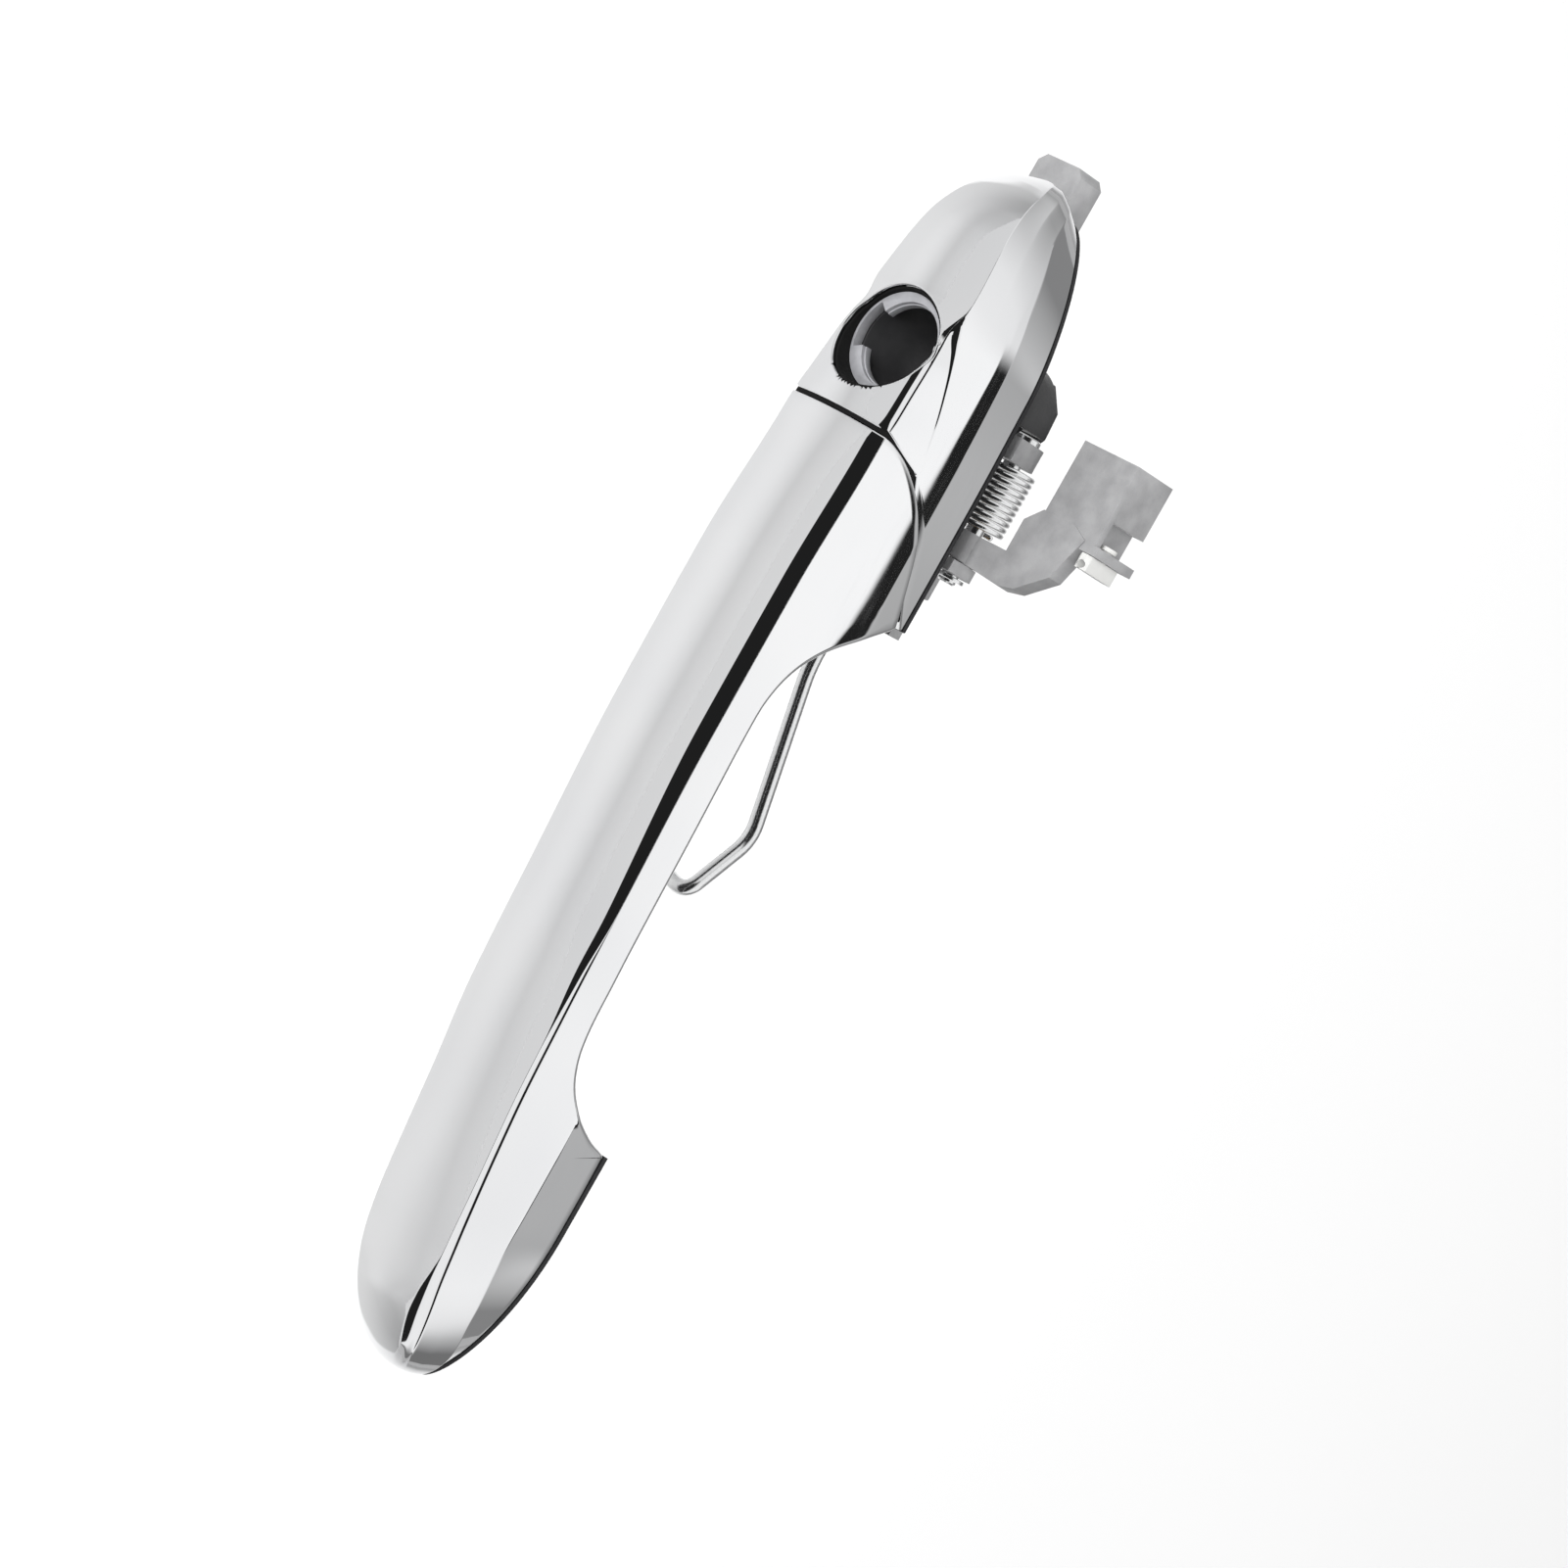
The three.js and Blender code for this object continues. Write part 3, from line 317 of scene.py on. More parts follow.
# ---------- mesh tools ----------
def new_object(name, verts, faces, normals=None, sharp=40):
    mesh = bpy.data.meshes.new(name)
    mesh.from_pydata([tuple(p) for p in np.asarray(verts, float) * MM], [], [tuple(f) for f in faces])
    mesh.validate()
    obj = bpy.data.objects.new(name, mesh)
    bpy.context.scene.collection.objects.link(obj)
    shade(obj, sharp)
    if normals is not None:
        mesh.normals_split_custom_set_from_vertices([tuple(n) for n in normals])
    return obj


def shade(obj, sharp=40):
    mesh = obj.data
    mesh.polygons.foreach_set("use_smooth", [True] * len(mesh.polygons))
    mesh.set_sharp_from_angle(angle=math.radians(sharp))
    mesh.update()


def vertex_normals(points, faces):
    total = np.zeros_like(points)
    for count in {len(f) for f in faces}:
        f = np.array([face for face in faces if len(face) == count])
        across = (f[:, 1], f[:, 0], f[:, 2], f[:, 0]) if count == 3 else (f[:, 2], f[:, 0], f[:, 3], f[:, 1])
        a, b, c, d = (points[k] for k in across)
        n = np.cross(a - b, c - d)
        for corner in range(count):
            np.add.at(total, f[:, corner], n)
    length = np.linalg.norm(total, axis=1)[:, None]
    return total / np.where(length > 0, length, 1)


def outward(points, faces):
    """The faces turned so that the crown faces away from the door."""
    crown = points[:, 1] < points[:, 1].min() + 4
    if vertex_normals(points, faces)[crown, 1].mean() > 0:
        return [face[::-1] for face in faces]
    return faces


def boundary_loops(faces):
    """Closed loops of vert numbers along the open edges of a surface."""
    forward = {}
    seen = set()
    for face in faces:
        for a, b in zip(face, face[1:] + face[:1]):
            seen.add((a, b))
    for a, b in seen:
        if (b, a) not in seen:
            forward[a] = b
    loops = []
    while forward:
        start = min(forward)
        loop = [start]
        while True:
            following = forward.pop(loop[-1])
            if following == start:
                break
            loop.append(following)
        loops.append(np.array(loop))
    return loops


def thick_skin(points, faces, radius, wall, normals=None, straight=None, fillet_steps=4):
    """A closed body from an open outer surface: rounded rim of the given radius beyond each open edge, then
    the inner surface. straight(loop points) gives a depth when the rim goes straight in along +Y."""
    faces = [tuple(int(i) for i in f) for f in faces]
    count = len(points)
    normal = vertex_normals(points, faces) if normals is None else normals
    radius = np.broadcast_to(radius, (count,))
    verts = [points]
    made = list(faces)
    total = count
    links = []
    for loop in boundary_loops(faces):
        here = points[loop]
        way = np.roll(here, -1, axis=0) - np.roll(here, 1, axis=0)
        n = normal[loop]
        out = np.cross(way, n)
        out /= np.linalg.norm(out, axis=1)[:, None]
        r = radius[loop][:, None]
        rows = []
        for step in range(1, fillet_steps + 1):
            angle = math.pi / 2 * step / fillet_steps
            rows.append(here + out * r * math.sin(angle) - n * r * (1 - math.cos(angle)))
        depth = straight(here) if straight else None
        if depth:
            edge = rows[-1]
            rows.append(edge + np.array([0, depth, 0]))
            rows.append(rows[-1] - out * 1.0)
            rows.append(here - out * 0.6 - n * wall)
        else:
            rows.append(here + out * r - n * (wall - 0.4 * r))
            rows.append(here + out * r * 0.6 - n * wall)
        previous = loop
        for row in rows:
            verts.append(row)
            current = total + np.arange(len(loop))
            total += len(loop)
            made += bridge(previous, current)
            previous = current
        links.append((previous, loop))
    verts.append(points - normal * wall)
    made += [tuple(total + i for i in reversed(f)) for f in faces]
    for previous, loop in links:
        made += bridge(previous, total + loop)
    return np.vstack(verts), made, normal


def bridge(before, after):
    """Quads between two closed rows of vertex numbers, on the open side of the first."""
    ahead, after_ahead = np.roll(before, -1), np.roll(after, -1)
    return [tuple(int(i) for i in quad) for quad in zip(ahead, before, after, after_ahead)]


def tube_faces(rings, sides, closed=False):
    """Faces of a body made of rings of verts, one after another: capped at its ends, or closed on itself."""
    faces = []
    for i in range(rings if closed else rings - 1):
        here, there = i * sides, (i + 1) % rings * sides
        ahead = [(j + 1) % sides for j in range(sides)]
        faces += [(here + j, here + k, there + k, there + j) for j, k in enumerate(ahead)]
    if not closed:
        faces += [tuple(range(sides)), tuple(range(rings * sides - 1, (rings - 1) * sides - 1, -1))]
    return faces


def grid_faces(rows, columns):
    return [(r * columns + c, (r + 1) * columns + c, (r + 1) * columns + c + 1, r * columns + c + 1)
            for r in range(rows - 1) for c in range(columns - 1)]


def merged(points, faces, tolerance=1e-4):
    """Points that coincide become one; faces that lose a corner become triangles or go."""
    keys = np.round(points / tolerance).astype(np.int64)
    _, first, inverse = np.unique(keys, axis=0, return_index=True, return_inverse=True)
    inverse = inverse.reshape(-1)
    kept = []
    for face in faces:
        ring = [int(inverse[i]) for i in face]
        slim = [i for k, i in enumerate(ring) if i != ring[k - 1]]
        if len(set(slim)) == len(slim) and len(slim) >= 3:
            kept.append(tuple(slim))
    return points[first], kept, first


# ---------- solids for the cast and turned pieces ----------
def prism(name, outline, axis, low, high):
    """A flat outline pulled along an axis. The outline is (y, z) for X, (x, z) for Y and (x, y) for Z."""
    spots = []
    for level in (low, high):
        for a, b in outline:
            spots.append({"X": (level, a, b), "Y": (a, level, b), "Z": (a, b, level)}[axis])
    n = len(outline)
    faces = [tuple(range(n)), tuple(range(2 * n - 1, n - 1, -1))]
    faces += [(i, n + i, n + (i + 1) % n, (i + 1) % n) for i in range(n)]
    obj = new_object(name, spots, faces)
    face_out(obj)
    return obj


def face_out(obj):
    work = bmesh.new()
    work.from_mesh(obj.data)
    bmesh.ops.recalc_face_normals(work, faces=work.faces)
    work.to_mesh(obj.data)
    work.free()


def finished(obj, sharp):
    """A piece with its faces turned outward and its edges shaded."""
    face_out(obj)
    shade(obj, sharp)
    return obj


def block(name, x, y, z):
    return prism(name, [(y[0], z[0]), (y[1], z[0]), (y[1], z[1]), (y[0], z[1])], "X", *x)


def circle(radius, a, b, sides=64):
    turn = np.linspace(0, 2 * math.pi, sides, endpoint=False)
    return [(a + radius * math.cos(t), b + radius * math.sin(t)) for t in turn]


def bar(name, axis, radius, low, high, a, b, sides=64):
    """A round bar along an axis, centred on a, b in the plane's axes as in prism."""
    return prism(name, circle(radius, a, b, sides), axis, low, high)


def lathe(name, axis, profile, a, b, sides=64):
    """A turned piece: profile is (radius, level) along the axis, from the axis back to the axis or closed."""
    verts, faces = [], []
    n = len(profile)
    for k in range(sides):
        turn = 2 * math.pi * k / sides
        for radius, level in profile:
            p, q = a + radius * math.cos(turn), b + radius * math.sin(turn)
            verts.append({"X": (level, p, q), "Y": (p, level, q), "Z": (p, q, level)}[axis])
        for i in range(n):
            j = (i + 1) % n
            m = (k + 1) % sides
            faces.append((k * n + i, m * n + i, m * n + j, k * n + j))
    points, kept, _ = merged(np.array(verts, float), faces)
    obj = new_object(name, points, kept, sharp=30)
    face_out(obj)
    shade(obj, 30)
    return obj


def combine(target, others, operation):
    for other in others:
        step = target.modifiers.new("join", "BOOLEAN")
        step.operation = operation
        step.solver = "EXACT"
        step.object = other
        apply_modifiers(target)
        bpy.data.objects.remove(other)
    return target


def cut(target, *tools):
    return combine(target, tools, "DIFFERENCE")


def add(target, *others):
    return combine(target, others, "UNION")


def apply_modifiers(obj):
    bpy.context.view_layer.update()
    evaluated = obj.evaluated_get(bpy.context.evaluated_depsgraph_get())
    mesh = bpy.data.meshes.new_from_object(evaluated)
    obj.modifiers.clear()
    old = obj.data
    obj.data = mesh
    bpy.data.meshes.remove(old)


def eased(obj, width=0.35, segments=3, angle=35, sharp=35):
    """Cast or moulded edges: small rounds on every edge sharper than the angle."""
    clean = bmesh.new()
    clean.from_mesh(obj.data)
    bmesh.ops.remove_doubles(clean, verts=clean.verts, dist=0.01 * MM)
    bmesh.ops.dissolve_limit(clean, angle_limit=math.radians(0.5), verts=clean.verts, edges=clean.edges)
    clean.to_mesh(obj.data)
    clean.free()
    step = obj.modifiers.new("edges", "BEVEL")
    step.width = width * MM
    step.segments = segments
    step.limit_method = "ANGLE"
    step.angle_limit = math.radians(angle)
    step.use_clamp_overlap = True
    step.harden_normals = False
    apply_modifiers(obj)
    shade(obj, sharp)
    return obj


def sweep(name, path, radius, sides=20, taper_ends=True):
    """A round wire along a path, with rounded ends."""
    path = np.array(path, float)
    way = np.gradient(path, axis=0)
    way /= np.linalg.norm(way, axis=1)[:, None]
    side = np.cross(way[0], [0.31, 0.2, 0.93])
    side /= np.linalg.norm(side)
    centres, radii, sides_at, ways = [], [], [], []
    caps = [(0.0, -1.0), (0.5, -0.87), (0.87, -0.5)] if taper_ends else []
    for share, back in caps:
        centres.append(path[0] + way[0] * radius * back)
        radii.append(radius * max(share, 0.02))
        sides_at.append(side)
        ways.append(way[0])
    for k in range(len(path)):
        side = side - way[k] * np.dot(side, way[k])
        side /= np.linalg.norm(side)
        centres.append(path[k])
        radii.append(radius)
        sides_at.append(side)
        ways.append(way[k])
    for share, back in reversed(caps):
        centres.append(path[-1] - way[-1] * radius * back)
        radii.append(radius * max(share, 0.02))
        sides_at.append(side)
        ways.append(way[-1])
    verts = []
    for centre, r, s, w in zip(centres, radii, sides_at, ways):
        t = np.cross(w, s)
        for k in range(sides):
            turn = 2 * math.pi * k / sides
            verts.append(centre + r * (s * math.cos(turn) + t * math.sin(turn)))
    faces = []
    for k in range(len(centres) - 1):
        for j in range(sides):
            m = (j + 1) % sides
            faces.append((k * sides + j, k * sides + m, (k + 1) * sides + m, (k + 1) * sides + j))
    faces.append(tuple(range(sides - 1, -1, -1)))
    faces.append(tuple(range((len(centres) - 1) * sides, len(centres) * sides)))
    return new_object(name, verts, faces, sharp=50)


def rounded_path(corners, bend, steps=8):
    """A path through corner points with each corner rounded."""
    corners = [np.array(c, float) for c in corners]
    path = [corners[0]]
    for before, corner, after in zip(corners, corners[1:], corners[2:]):
        enter = corner + (before - corner) / np.linalg.norm(before - corner) * bend
        leave = corner + (after - corner) / np.linalg.norm(after - corner) * bend
        run = np.linalg.norm(enter - path[-1])
        path += [lerp(path[-1], enter, t) for t in np.linspace(0, 1, max(2, int(run / 2)))[1:-1]]
        for t in np.linspace(0, 1, steps):
            path.append(enter * (1 - t) ** 2 + corner * 2 * t * (1 - t) + leave * t * t)
    run = np.linalg.norm(corners[-1] - path[-1])
    path += [lerp(path[-1], corners[-1], t) for t in np.linspace(0, 1, max(2, int(run / 2)))[1:]]
    return path


# ---------- materials ----------
def new_material(name, base, metallic, roughness):
    material = bpy.data.materials.new(name)
    material.use_nodes = True
    nodes, links = material.node_tree.nodes, material.node_tree.links
    shader = nodes["Principled BSDF"]
    shader.inputs["Base Color"].default_value = (*base, 1)
    shader.inputs["Metallic"].default_value = metallic
    shader.inputs["Roughness"].default_value = roughness
    place = nodes.new("ShaderNodeTexCoord")
    return material, nodes, links, shader, place


def noise(nodes, links, place, scale, detail=4.0, stretch=(1, 1, 1)):
    mapping = nodes.new("ShaderNodeMapping")
    mapping.inputs["Scale"].default_value = stretch
    links.new(place.outputs["Object"], mapping.inputs["Vector"])
    texture = nodes.new("ShaderNodeTexNoise")
    texture.inputs["Scale"].default_value = scale
    texture.inputs["Detail"].default_value = detail
    links.new(mapping.outputs["Vector"], texture.inputs["Vector"])
    return texture.outputs["Fac"]


def ramp(nodes, links, value, stops):
    """A colour ramp of [position, colour or grey]."""
    node = nodes.new("ShaderNodeValToRGB")
    elements = node.color_ramp.elements
    while len(elements) < len(stops):
        elements.new(0.5)
    for element, (at, colour) in zip(elements, stops):
        element.position = at
        element.color = (*colour, 1) if hasattr(colour, "__len__") else (colour, colour, colour, 1)
    links.new(value, node.inputs["Fac"])
    return node.outputs["Color"]


def bump(nodes, links, shader, height, distance, strength=1.0):
    node = nodes.new("ShaderNodeBump")
    node.inputs["Distance"].default_value = distance * MM
    node.inputs["Strength"].default_value = strength
    links.new(height, node.inputs["Height"])
    links.new(node.outputs["Normal"], shader.inputs["Normal"])


def chrome_material():
    """Bright plating: nearly a mirror, with very faint wiping marks in its gloss."""
    material, nodes, links, shader, place = new_material("chrome_plating", (0.86, 0.865, 0.875), 1, 0.05)
    tint = noise(nodes, links, place, 35, 2)
    links.new(ramp(nodes, links, tint, [(0.3, (0.85, 0.855, 0.868)), (0.7, (0.88, 0.883, 0.89))]),
              shader.inputs["Base Color"])
    wipe = noise(nodes, links, place, 900, 3, (0.12, 1, 1))
    links.new(ramp(nodes, links, wipe, [(0.35, 0.035), (0.75, 0.075)]), shader.inputs["Roughness"])
    return material


def cast_material(name, dark, light, grain=0.05):
    """Die-cast zinc: fine sandy grain, slightly mottled."""
    material, nodes, links, shader, place = new_material(name, light, 0.35, 0.5)
    mottle = noise(nodes, links, place, 260, 5)
    links.new(ramp(nodes, links, mottle, [(0.3, dark), (0.7, light)]), shader.inputs["Base Color"])
    fine = noise(nodes, links, place, 3200, 3)
    links.new(ramp(nodes, links, fine, [(0.2, 0.42), (0.8, 0.62)]), shader.inputs["Roughness"])
    bump(nodes, links, shader, fine, grain, 0.7)
    return material


def steel_material(name, dark, light, rough, stretch):
    """Drawn or turned steel with fine marks along the wire or round the bar."""
    material, nodes, links, shader, place = new_material(name, light, 1, rough)
    marks = noise(nodes, links, place, 2600, 4, stretch)
    links.new(ramp(nodes, links, marks, [(0.3, dark), (0.7, light)]), shader.inputs["Base Color"])
    links.new(ramp(nodes, links, marks, [(0.3, rough * 0.7), (0.7, rough * 1.4)]), shader.inputs["Roughness"])
    bump(nodes, links, shader, marks, 0.003, 0.4)
    return material


def rubber_material():
    material, nodes, links, shader, place = new_material("black_rubber", (0.012, 0.012, 0.013), 0, 0.75)
    dust = noise(nodes, links, place, 700, 5)
    links.new(ramp(nodes, links, dust, [(0.3, (0.008, 0.008, 0.009)), (0.8, (0.02, 0.02, 0.021))]),
              shader.inputs["Base Color"])
    links.new(ramp(nodes, links, dust, [(0.2, 0.65), (0.8, 0.88)]), shader.inputs["Roughness"])
    bump(nodes, links, shader, dust, 0.03, 0.5)
    return material


def plastic_material(name, dark, light, rough, grain_scale=1500, depth=0.03, sheen=0.5):
    """Moulded plastic with a fine spark-eroded grain; sheen is how much it mirrors."""
    material, nodes, links, shader, place = new_material(name, light, 0, rough)
    shader.inputs["Specular IOR Level"].default_value = sheen
    cloud = noise(nodes, links, place, 120, 3)
    links.new(ramp(nodes, links, cloud, [(0.3, dark), (0.7, light)]), shader.inputs["Base Color"])
    grain = noise(nodes, links, place, grain_scale, 2)
    uneven = ramp(nodes, links, grain, [(0.2, rough - 0.08), (0.8, rough + 0.08)])
    links.new(uneven, shader.inputs["Roughness"])
    bump(nodes, links, shader, grain, depth, 0.6)
    return material


CHROME = chrome_material()
ZINC = cast_material("cast_zinc", (0.26, 0.26, 0.265), (0.34, 0.34, 0.345))
STEEL = steel_material("bright_steel", (0.78, 0.785, 0.79), (0.88, 0.885, 0.89), 0.2, (1, 1, 1))
RUBBER = rubber_material()
BLACK_PLASTIC = plastic_material("black_moulding", (0.015, 0.015, 0.016), (0.028, 0.028, 0.029), 0.45)
# painted shade: a deeper, duller black than the mouldings, for the strips that stand in for the shadows in
# the parting gap and the key opening
SHADE_BLACK = plastic_material("deep_black_moulding", (0.004, 0.004, 0.004), (0.007, 0.007, 0.007), 0.7,
                              sheen=0.12)
RING_GREY = cast_material("ring_grey_paint", (0.24, 0.241, 0.255), (0.36, 0.362, 0.38), 0.02)
CLIP_PLASTIC = plastic_material("clip_moulding", (0.40, 0.40, 0.39), (0.5, 0.5, 0.49), 0.4)
BRONZE = steel_material("sintered_bronze", (0.32, 0.2, 0.09), (0.5, 0.34, 0.17), 0.45, (1, 1, 1))


def settle(obj, body, material, slot, *replaced):
    """Give a finished piece its material, its body and the CAD nodes it stands for. The slot argument is not
    used.
    """
    obj.data.materials.clear()
    obj.data.materials.append(material)
    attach(obj, body)
    if replaced:
        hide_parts(*replaced)
    return obj


# ---------- grip ----------
GRIP_TOE = [30.1, 3.0]  # where the lower edge meets the parting line
COVER_TOE = [31.2, 4.2] # where the inner cover turns up along the parting face
GRIP_EDGE = 0.9        # radius of the grip's edges round the hand gap
CRISP_EDGE = 0.35      # radius of edges at the gasket, the parting line and the key opening
EDGE_SHIFT = SPLIT_GAP / 2 + CRISP_EDGE     # from the parting line to where the rim on each side begins
TOP_OF_RIB = smooth([[30.1, 1.7], [35, 13], [40, 25], [45.5, 36], [52, 47], [60, 57.5], [80, 80],
                     [105, 106.5],
                     [120, 123.5], [128, 133], [133.5, 139], [139.6, 147], [155, 155]])


def grip_lower_edge(toe):
    """Stations and heights of the grip's lower edge from the foot's nose to its toe by the parting line."""
    nose = FOOT_START + (FOOT_NOSE - FOOT_START) * np.sin(np.linspace(math.pi / 2, 0, 44))
    sole = [(x, BASE) for x in nose] + [(x, BASE) for x in np.linspace(FOOT_START, 139.2, 9)[1:]]
    gap = flowing([[138.8, BASE]] + HAND_GAP[1:-1] + [toe], 120)
    return np.vstack([sole, gap]), len(sole)


def grip_stations():
    """Each rib of the grip: top station, lower station and height, share of the parting line, edge radius."""
    line, sole = grip_lower_edge(GRIP_TOE)
    radius = np.where(np.arange(len(line)) < sole, CRISP_EDGE, GRIP_EDGE)
    radius = np.convolve(np.pad(radius, 4, mode="edge"), np.ones(9) / 9, mode="valid")
    radius[:sole - 4] = CRISP_EDGE
    inside = shifted(line, -radius)
    inside[:sole - 1, 0] = line[:sole - 1, 0]
    top = np.where(line[:, 0] > FOOT_START, line[:, 0], TOP_OF_RIB(line[:, 0]))
    curve = ease((60 - line[:, 0]) / (60 - 30.5))
    top[-1] = split_x(EDGE(1.0), EDGE_SHIFT)
    curve[-1] = 1
    return top, inside[:, 0], inside[:, 1], curve, radius


def grip_shell():
    top, bottom, bottom_height, curve, radius = grip_stations()
    rows = np.concatenate([-ROWS[:0:-1], ROWS])
    spread = [np.repeat(values[:, None], len(rows), axis=1) for values in (top, bottom, bottom_height, curve)]
    points = ribbed(*spread, np.repeat(rows[None, :], len(top), axis=0), EDGE_SHIFT).reshape(-1, 3)
    edge = np.repeat(radius, len(rows))
    edge[-len(rows):] = CRISP_EDGE
    points, faces, first = merged(points, grid_faces(len(top), len(rows)))
    faces = outward(points, faces)
    verts, made, _ = thick_skin(points, faces, edge[first], SHELL_WALL)
    return new_object("grip_shell_plated", verts, made, sharp=50)


# ---------- cap ----------
CAP_BOTTOM = smooth([[-54.8, -54.8], [-48, -49.5], [-41, -42.5], [-33, -32], [-26, -21.5], [-18, -6],
                     [-11, 8.5],
                     [-6, 18.5], [-2, 26.3], [0.6, 30]])
ROW_WIDTH = [[0, 0], [CROWN_END, 11], [0.46, 12.2], [0.52, 13.3], [SIDE_START, 14.2], [1, 42]]
OPENING = KEY_RADIUS + CRISP_EDGE
# painted shade: the black strip in the parting gap stands in for the gap's shadow
SHADE_STRIP_FROM, SHADE_STRIP_TO = 0.16, 0.68                          # shares of the way from the cap to the grip
SHADE_STRIP_DEPTH = 0.45                                        # below the surface
# painted shade: the black sleeve in the key opening stands in for the shadow on its walls
KEY_SHADE_INNER, KEY_SHADE_OUTER, KEY_SHADE_FOOT = 9.98, 10.62, -24.4


def cap_point(station, v):
    curve = ease((station + 18) / 18.5)
    bottom_height = np.full_like(station, BASE + CRISP_EDGE)
    return ribbed(station, CAP_BOTTOM(station), bottom_height, curve, v, -EDGE_SHIFT)


def cap_normal(station, v):
    along = cap_point(station + 0.03, v) - cap_point(station - 0.03, v)
    across = cap_point(station, v + 0.001) - cap_point(station, v - 0.001)
    n = np.cross(across, along)
    return n / np.linalg.norm(n, axis=1)[:, None]


def row_of(station, half):
    """Signed row of the top section whose half width is the given one."""
    table = np.linspace(0, SIDE_START, 400)
    rows = [np.interp(abs(z), top_section(np.full_like(table, x), table)[0], table)
            for x, z in zip(station, half)]
    return np.array(rows) * np.sign(half)


def scoop_lines():
    """Chart points along the scoop's lip, so that the triangles follow it: stations and rows of each line."""
    stations = np.linspace(-24.2, 0.2, 76)
    rows = np.linspace(SIDE_START, 0.9, 500)
    t, v = np.meshgrid(stations, rows, indexing="ij")
    at = cap_point(t, v)
    climb = (-at[..., 1] - SCOOP(at[..., 0])) / SCOOP_LIP(at[..., 0])
    found = []
    for level in (-0.12, 0.08, 0.3, 0.5, 0.7, 0.92, 1.12):
        cross = np.array([np.interp(-level, -climb[i], rows) for i in range(len(stations))])
        inside = cross > SIDE_START + 0.004
        found.append((stations[inside], cross[inside]))
    return found


def cap_shell():
    """The cap with its key opening, triangulated in the plane of station and row."""
    v_of, w_of = np.array(ROW_WIDTH).T
    start = split_x(EDGE(1.0), -EDGE_SHIFT)
    stations = np.concatenate([np.linspace(start, KEY_START, 44)[:-1],
                               KEY_START + (KEY_NOSE - KEY_START) * np.sin(np.linspace(0, math.pi / 2, 64))])
    rows = np.concatenate([-ROWS[:0:-1], ROWS])
    t, v = (g.ravel() for g in np.meshgrid(stations, rows, indexing="ij"))
    at = cap_point(t, v)
    inside = (np.hypot(at[:, 0] - KEY_X, at[:, 2] - KEY_Z) < OPENING + 0.16) & (np.abs(v) < 0.7)
    climb = (-at[:, 1] - SCOOP(at[:, 0])) / SCOOP_LIP(at[:, 0])
    inside |= (climb > -0.3) & (climb < 1.3) & (np.abs(v) > SIDE_START + 0.001) & (t > -24.4) & (t < 0.4)
    t, v = [t[~inside]], [v[~inside]]
    turn = np.linspace(0, 2 * math.pi, 220, endpoint=False)
    ring_t = KEY_X + OPENING * np.cos(turn)
    t.insert(0, ring_t)
    v.insert(0, row_of(ring_t, KEY_Z + OPENING * np.sin(turn)))
    edges = [(i, (i + 1) % len(turn)) for i in range(len(turn))]
    for line_t, line_v in scoop_lines():
        for side in (-1, 1):
            start = sum(len(part) for part in t)
            t.append(line_t)
            v.append(line_v * side)
            edges += [(start + i, start + i + 1) for i in range(len(line_t) - 1)]
    t, v = np.concatenate(t), np.concatenate(v)
    chart = np.column_stack([t, np.sign(v) * np.interp(np.abs(v), v_of, w_of)])
    spots, _, triangles, _, _, _ = delaunay_2d_cdt([Vector(p) for p in chart], edges, [], 0, 1e-6)
    spots = np.array([tuple(p) for p in spots])
    t, v = spots[:, 0], np.sign(spots[:, 1]) * np.interp(np.abs(spots[:, 1]), w_of, v_of)
    points = cap_point(t, v)
    faces = []
    for face in triangles:
        middle = points[list(face)].mean(axis=0)
        hole = math.hypot(middle[0] - KEY_X, middle[2] - KEY_Z) < OPENING - 0.01
        if not (hole and middle[1] < -20):
            faces.append(tuple(face))
    normal = cap_normal(t, v)
    points, faces, first = merged(points, faces)
    faces = outward(points, faces)
    averaged = vertex_normals(points, faces)
    normal = normal[first]
    normal *= np.sign((normal * averaged).sum(axis=1))[:, None]
    near_nose = (t[first] < KEY_NOSE + 1.2) | ~np.isfinite(normal).all(axis=1)
    normal[near_nose] = averaged[near_nose]

    def straight(loop_points):
        spread = np.hypot(loop_points[:, 0] - KEY_X, loop_points[:, 2] - KEY_Z)
        return 1.2 if spread.max() < OPENING + 0.5 else None
    verts, made, _ = thick_skin(points, faces, CRISP_EDGE, SHELL_WALL, normal, straight)
    given = np.zeros_like(verts)
    given[:len(points)] = normal
    return new_object("key_cap_plated", verts, made, given, sharp=50)


def nearest_on(line, points):
    """For each point, the closest point of a finely divided line, and whether that is not one of its ends."""
    index = np.linalg.norm(line[None] - points[:, None], axis=2).argmin(axis=1)
    return line[index], (index > 0) & (index < len(line) - 1)


def parting_seal():
    """Black strip of painted shade in the parting gap, fixed to the cap: under the surface and clear of the
    grip's end. It stands in for the gap's shadow.
    """
    rows = np.linspace(-1, 1, 301)
    near = cap_point(np.full(len(rows), split_x(EDGE(1.0), -EDGE_SHIFT)), rows)
    fine = np.linspace(-1, 1, 3001)
    top, bottom, bottom_height, _, _ = (np.full(len(fine), values[-1]) for values in grip_stations())
    far, beside = nearest_on(ribbed(top, bottom, bottom_height, np.ones(len(fine)), fine, EDGE_SHIFT), near)
    near, far = near[beside], far[beside]
    along = np.gradient(near, axis=0)
    inward = np.cross(along, far - near)
    inward /= np.linalg.norm(inward, axis=1)[:, None]
    inward *= np.sign(inward[len(near) // 2, 1])
    floor = SHADE_STRIP_DEPTH + 1.2
    section = [(SHADE_STRIP_FROM, SHADE_STRIP_DEPTH), (SHADE_STRIP_TO, SHADE_STRIP_DEPTH), (SHADE_STRIP_TO, floor), (SHADE_STRIP_FROM, floor)]
    verts = np.stack([lerp(near, far, share) + inward * depth for share, depth in section], axis=1)
    faces = tube_faces(len(near), len(section))
    return finished(new_object("parting_seal", verts.reshape(-1, 3), faces, sharp=40), 40)


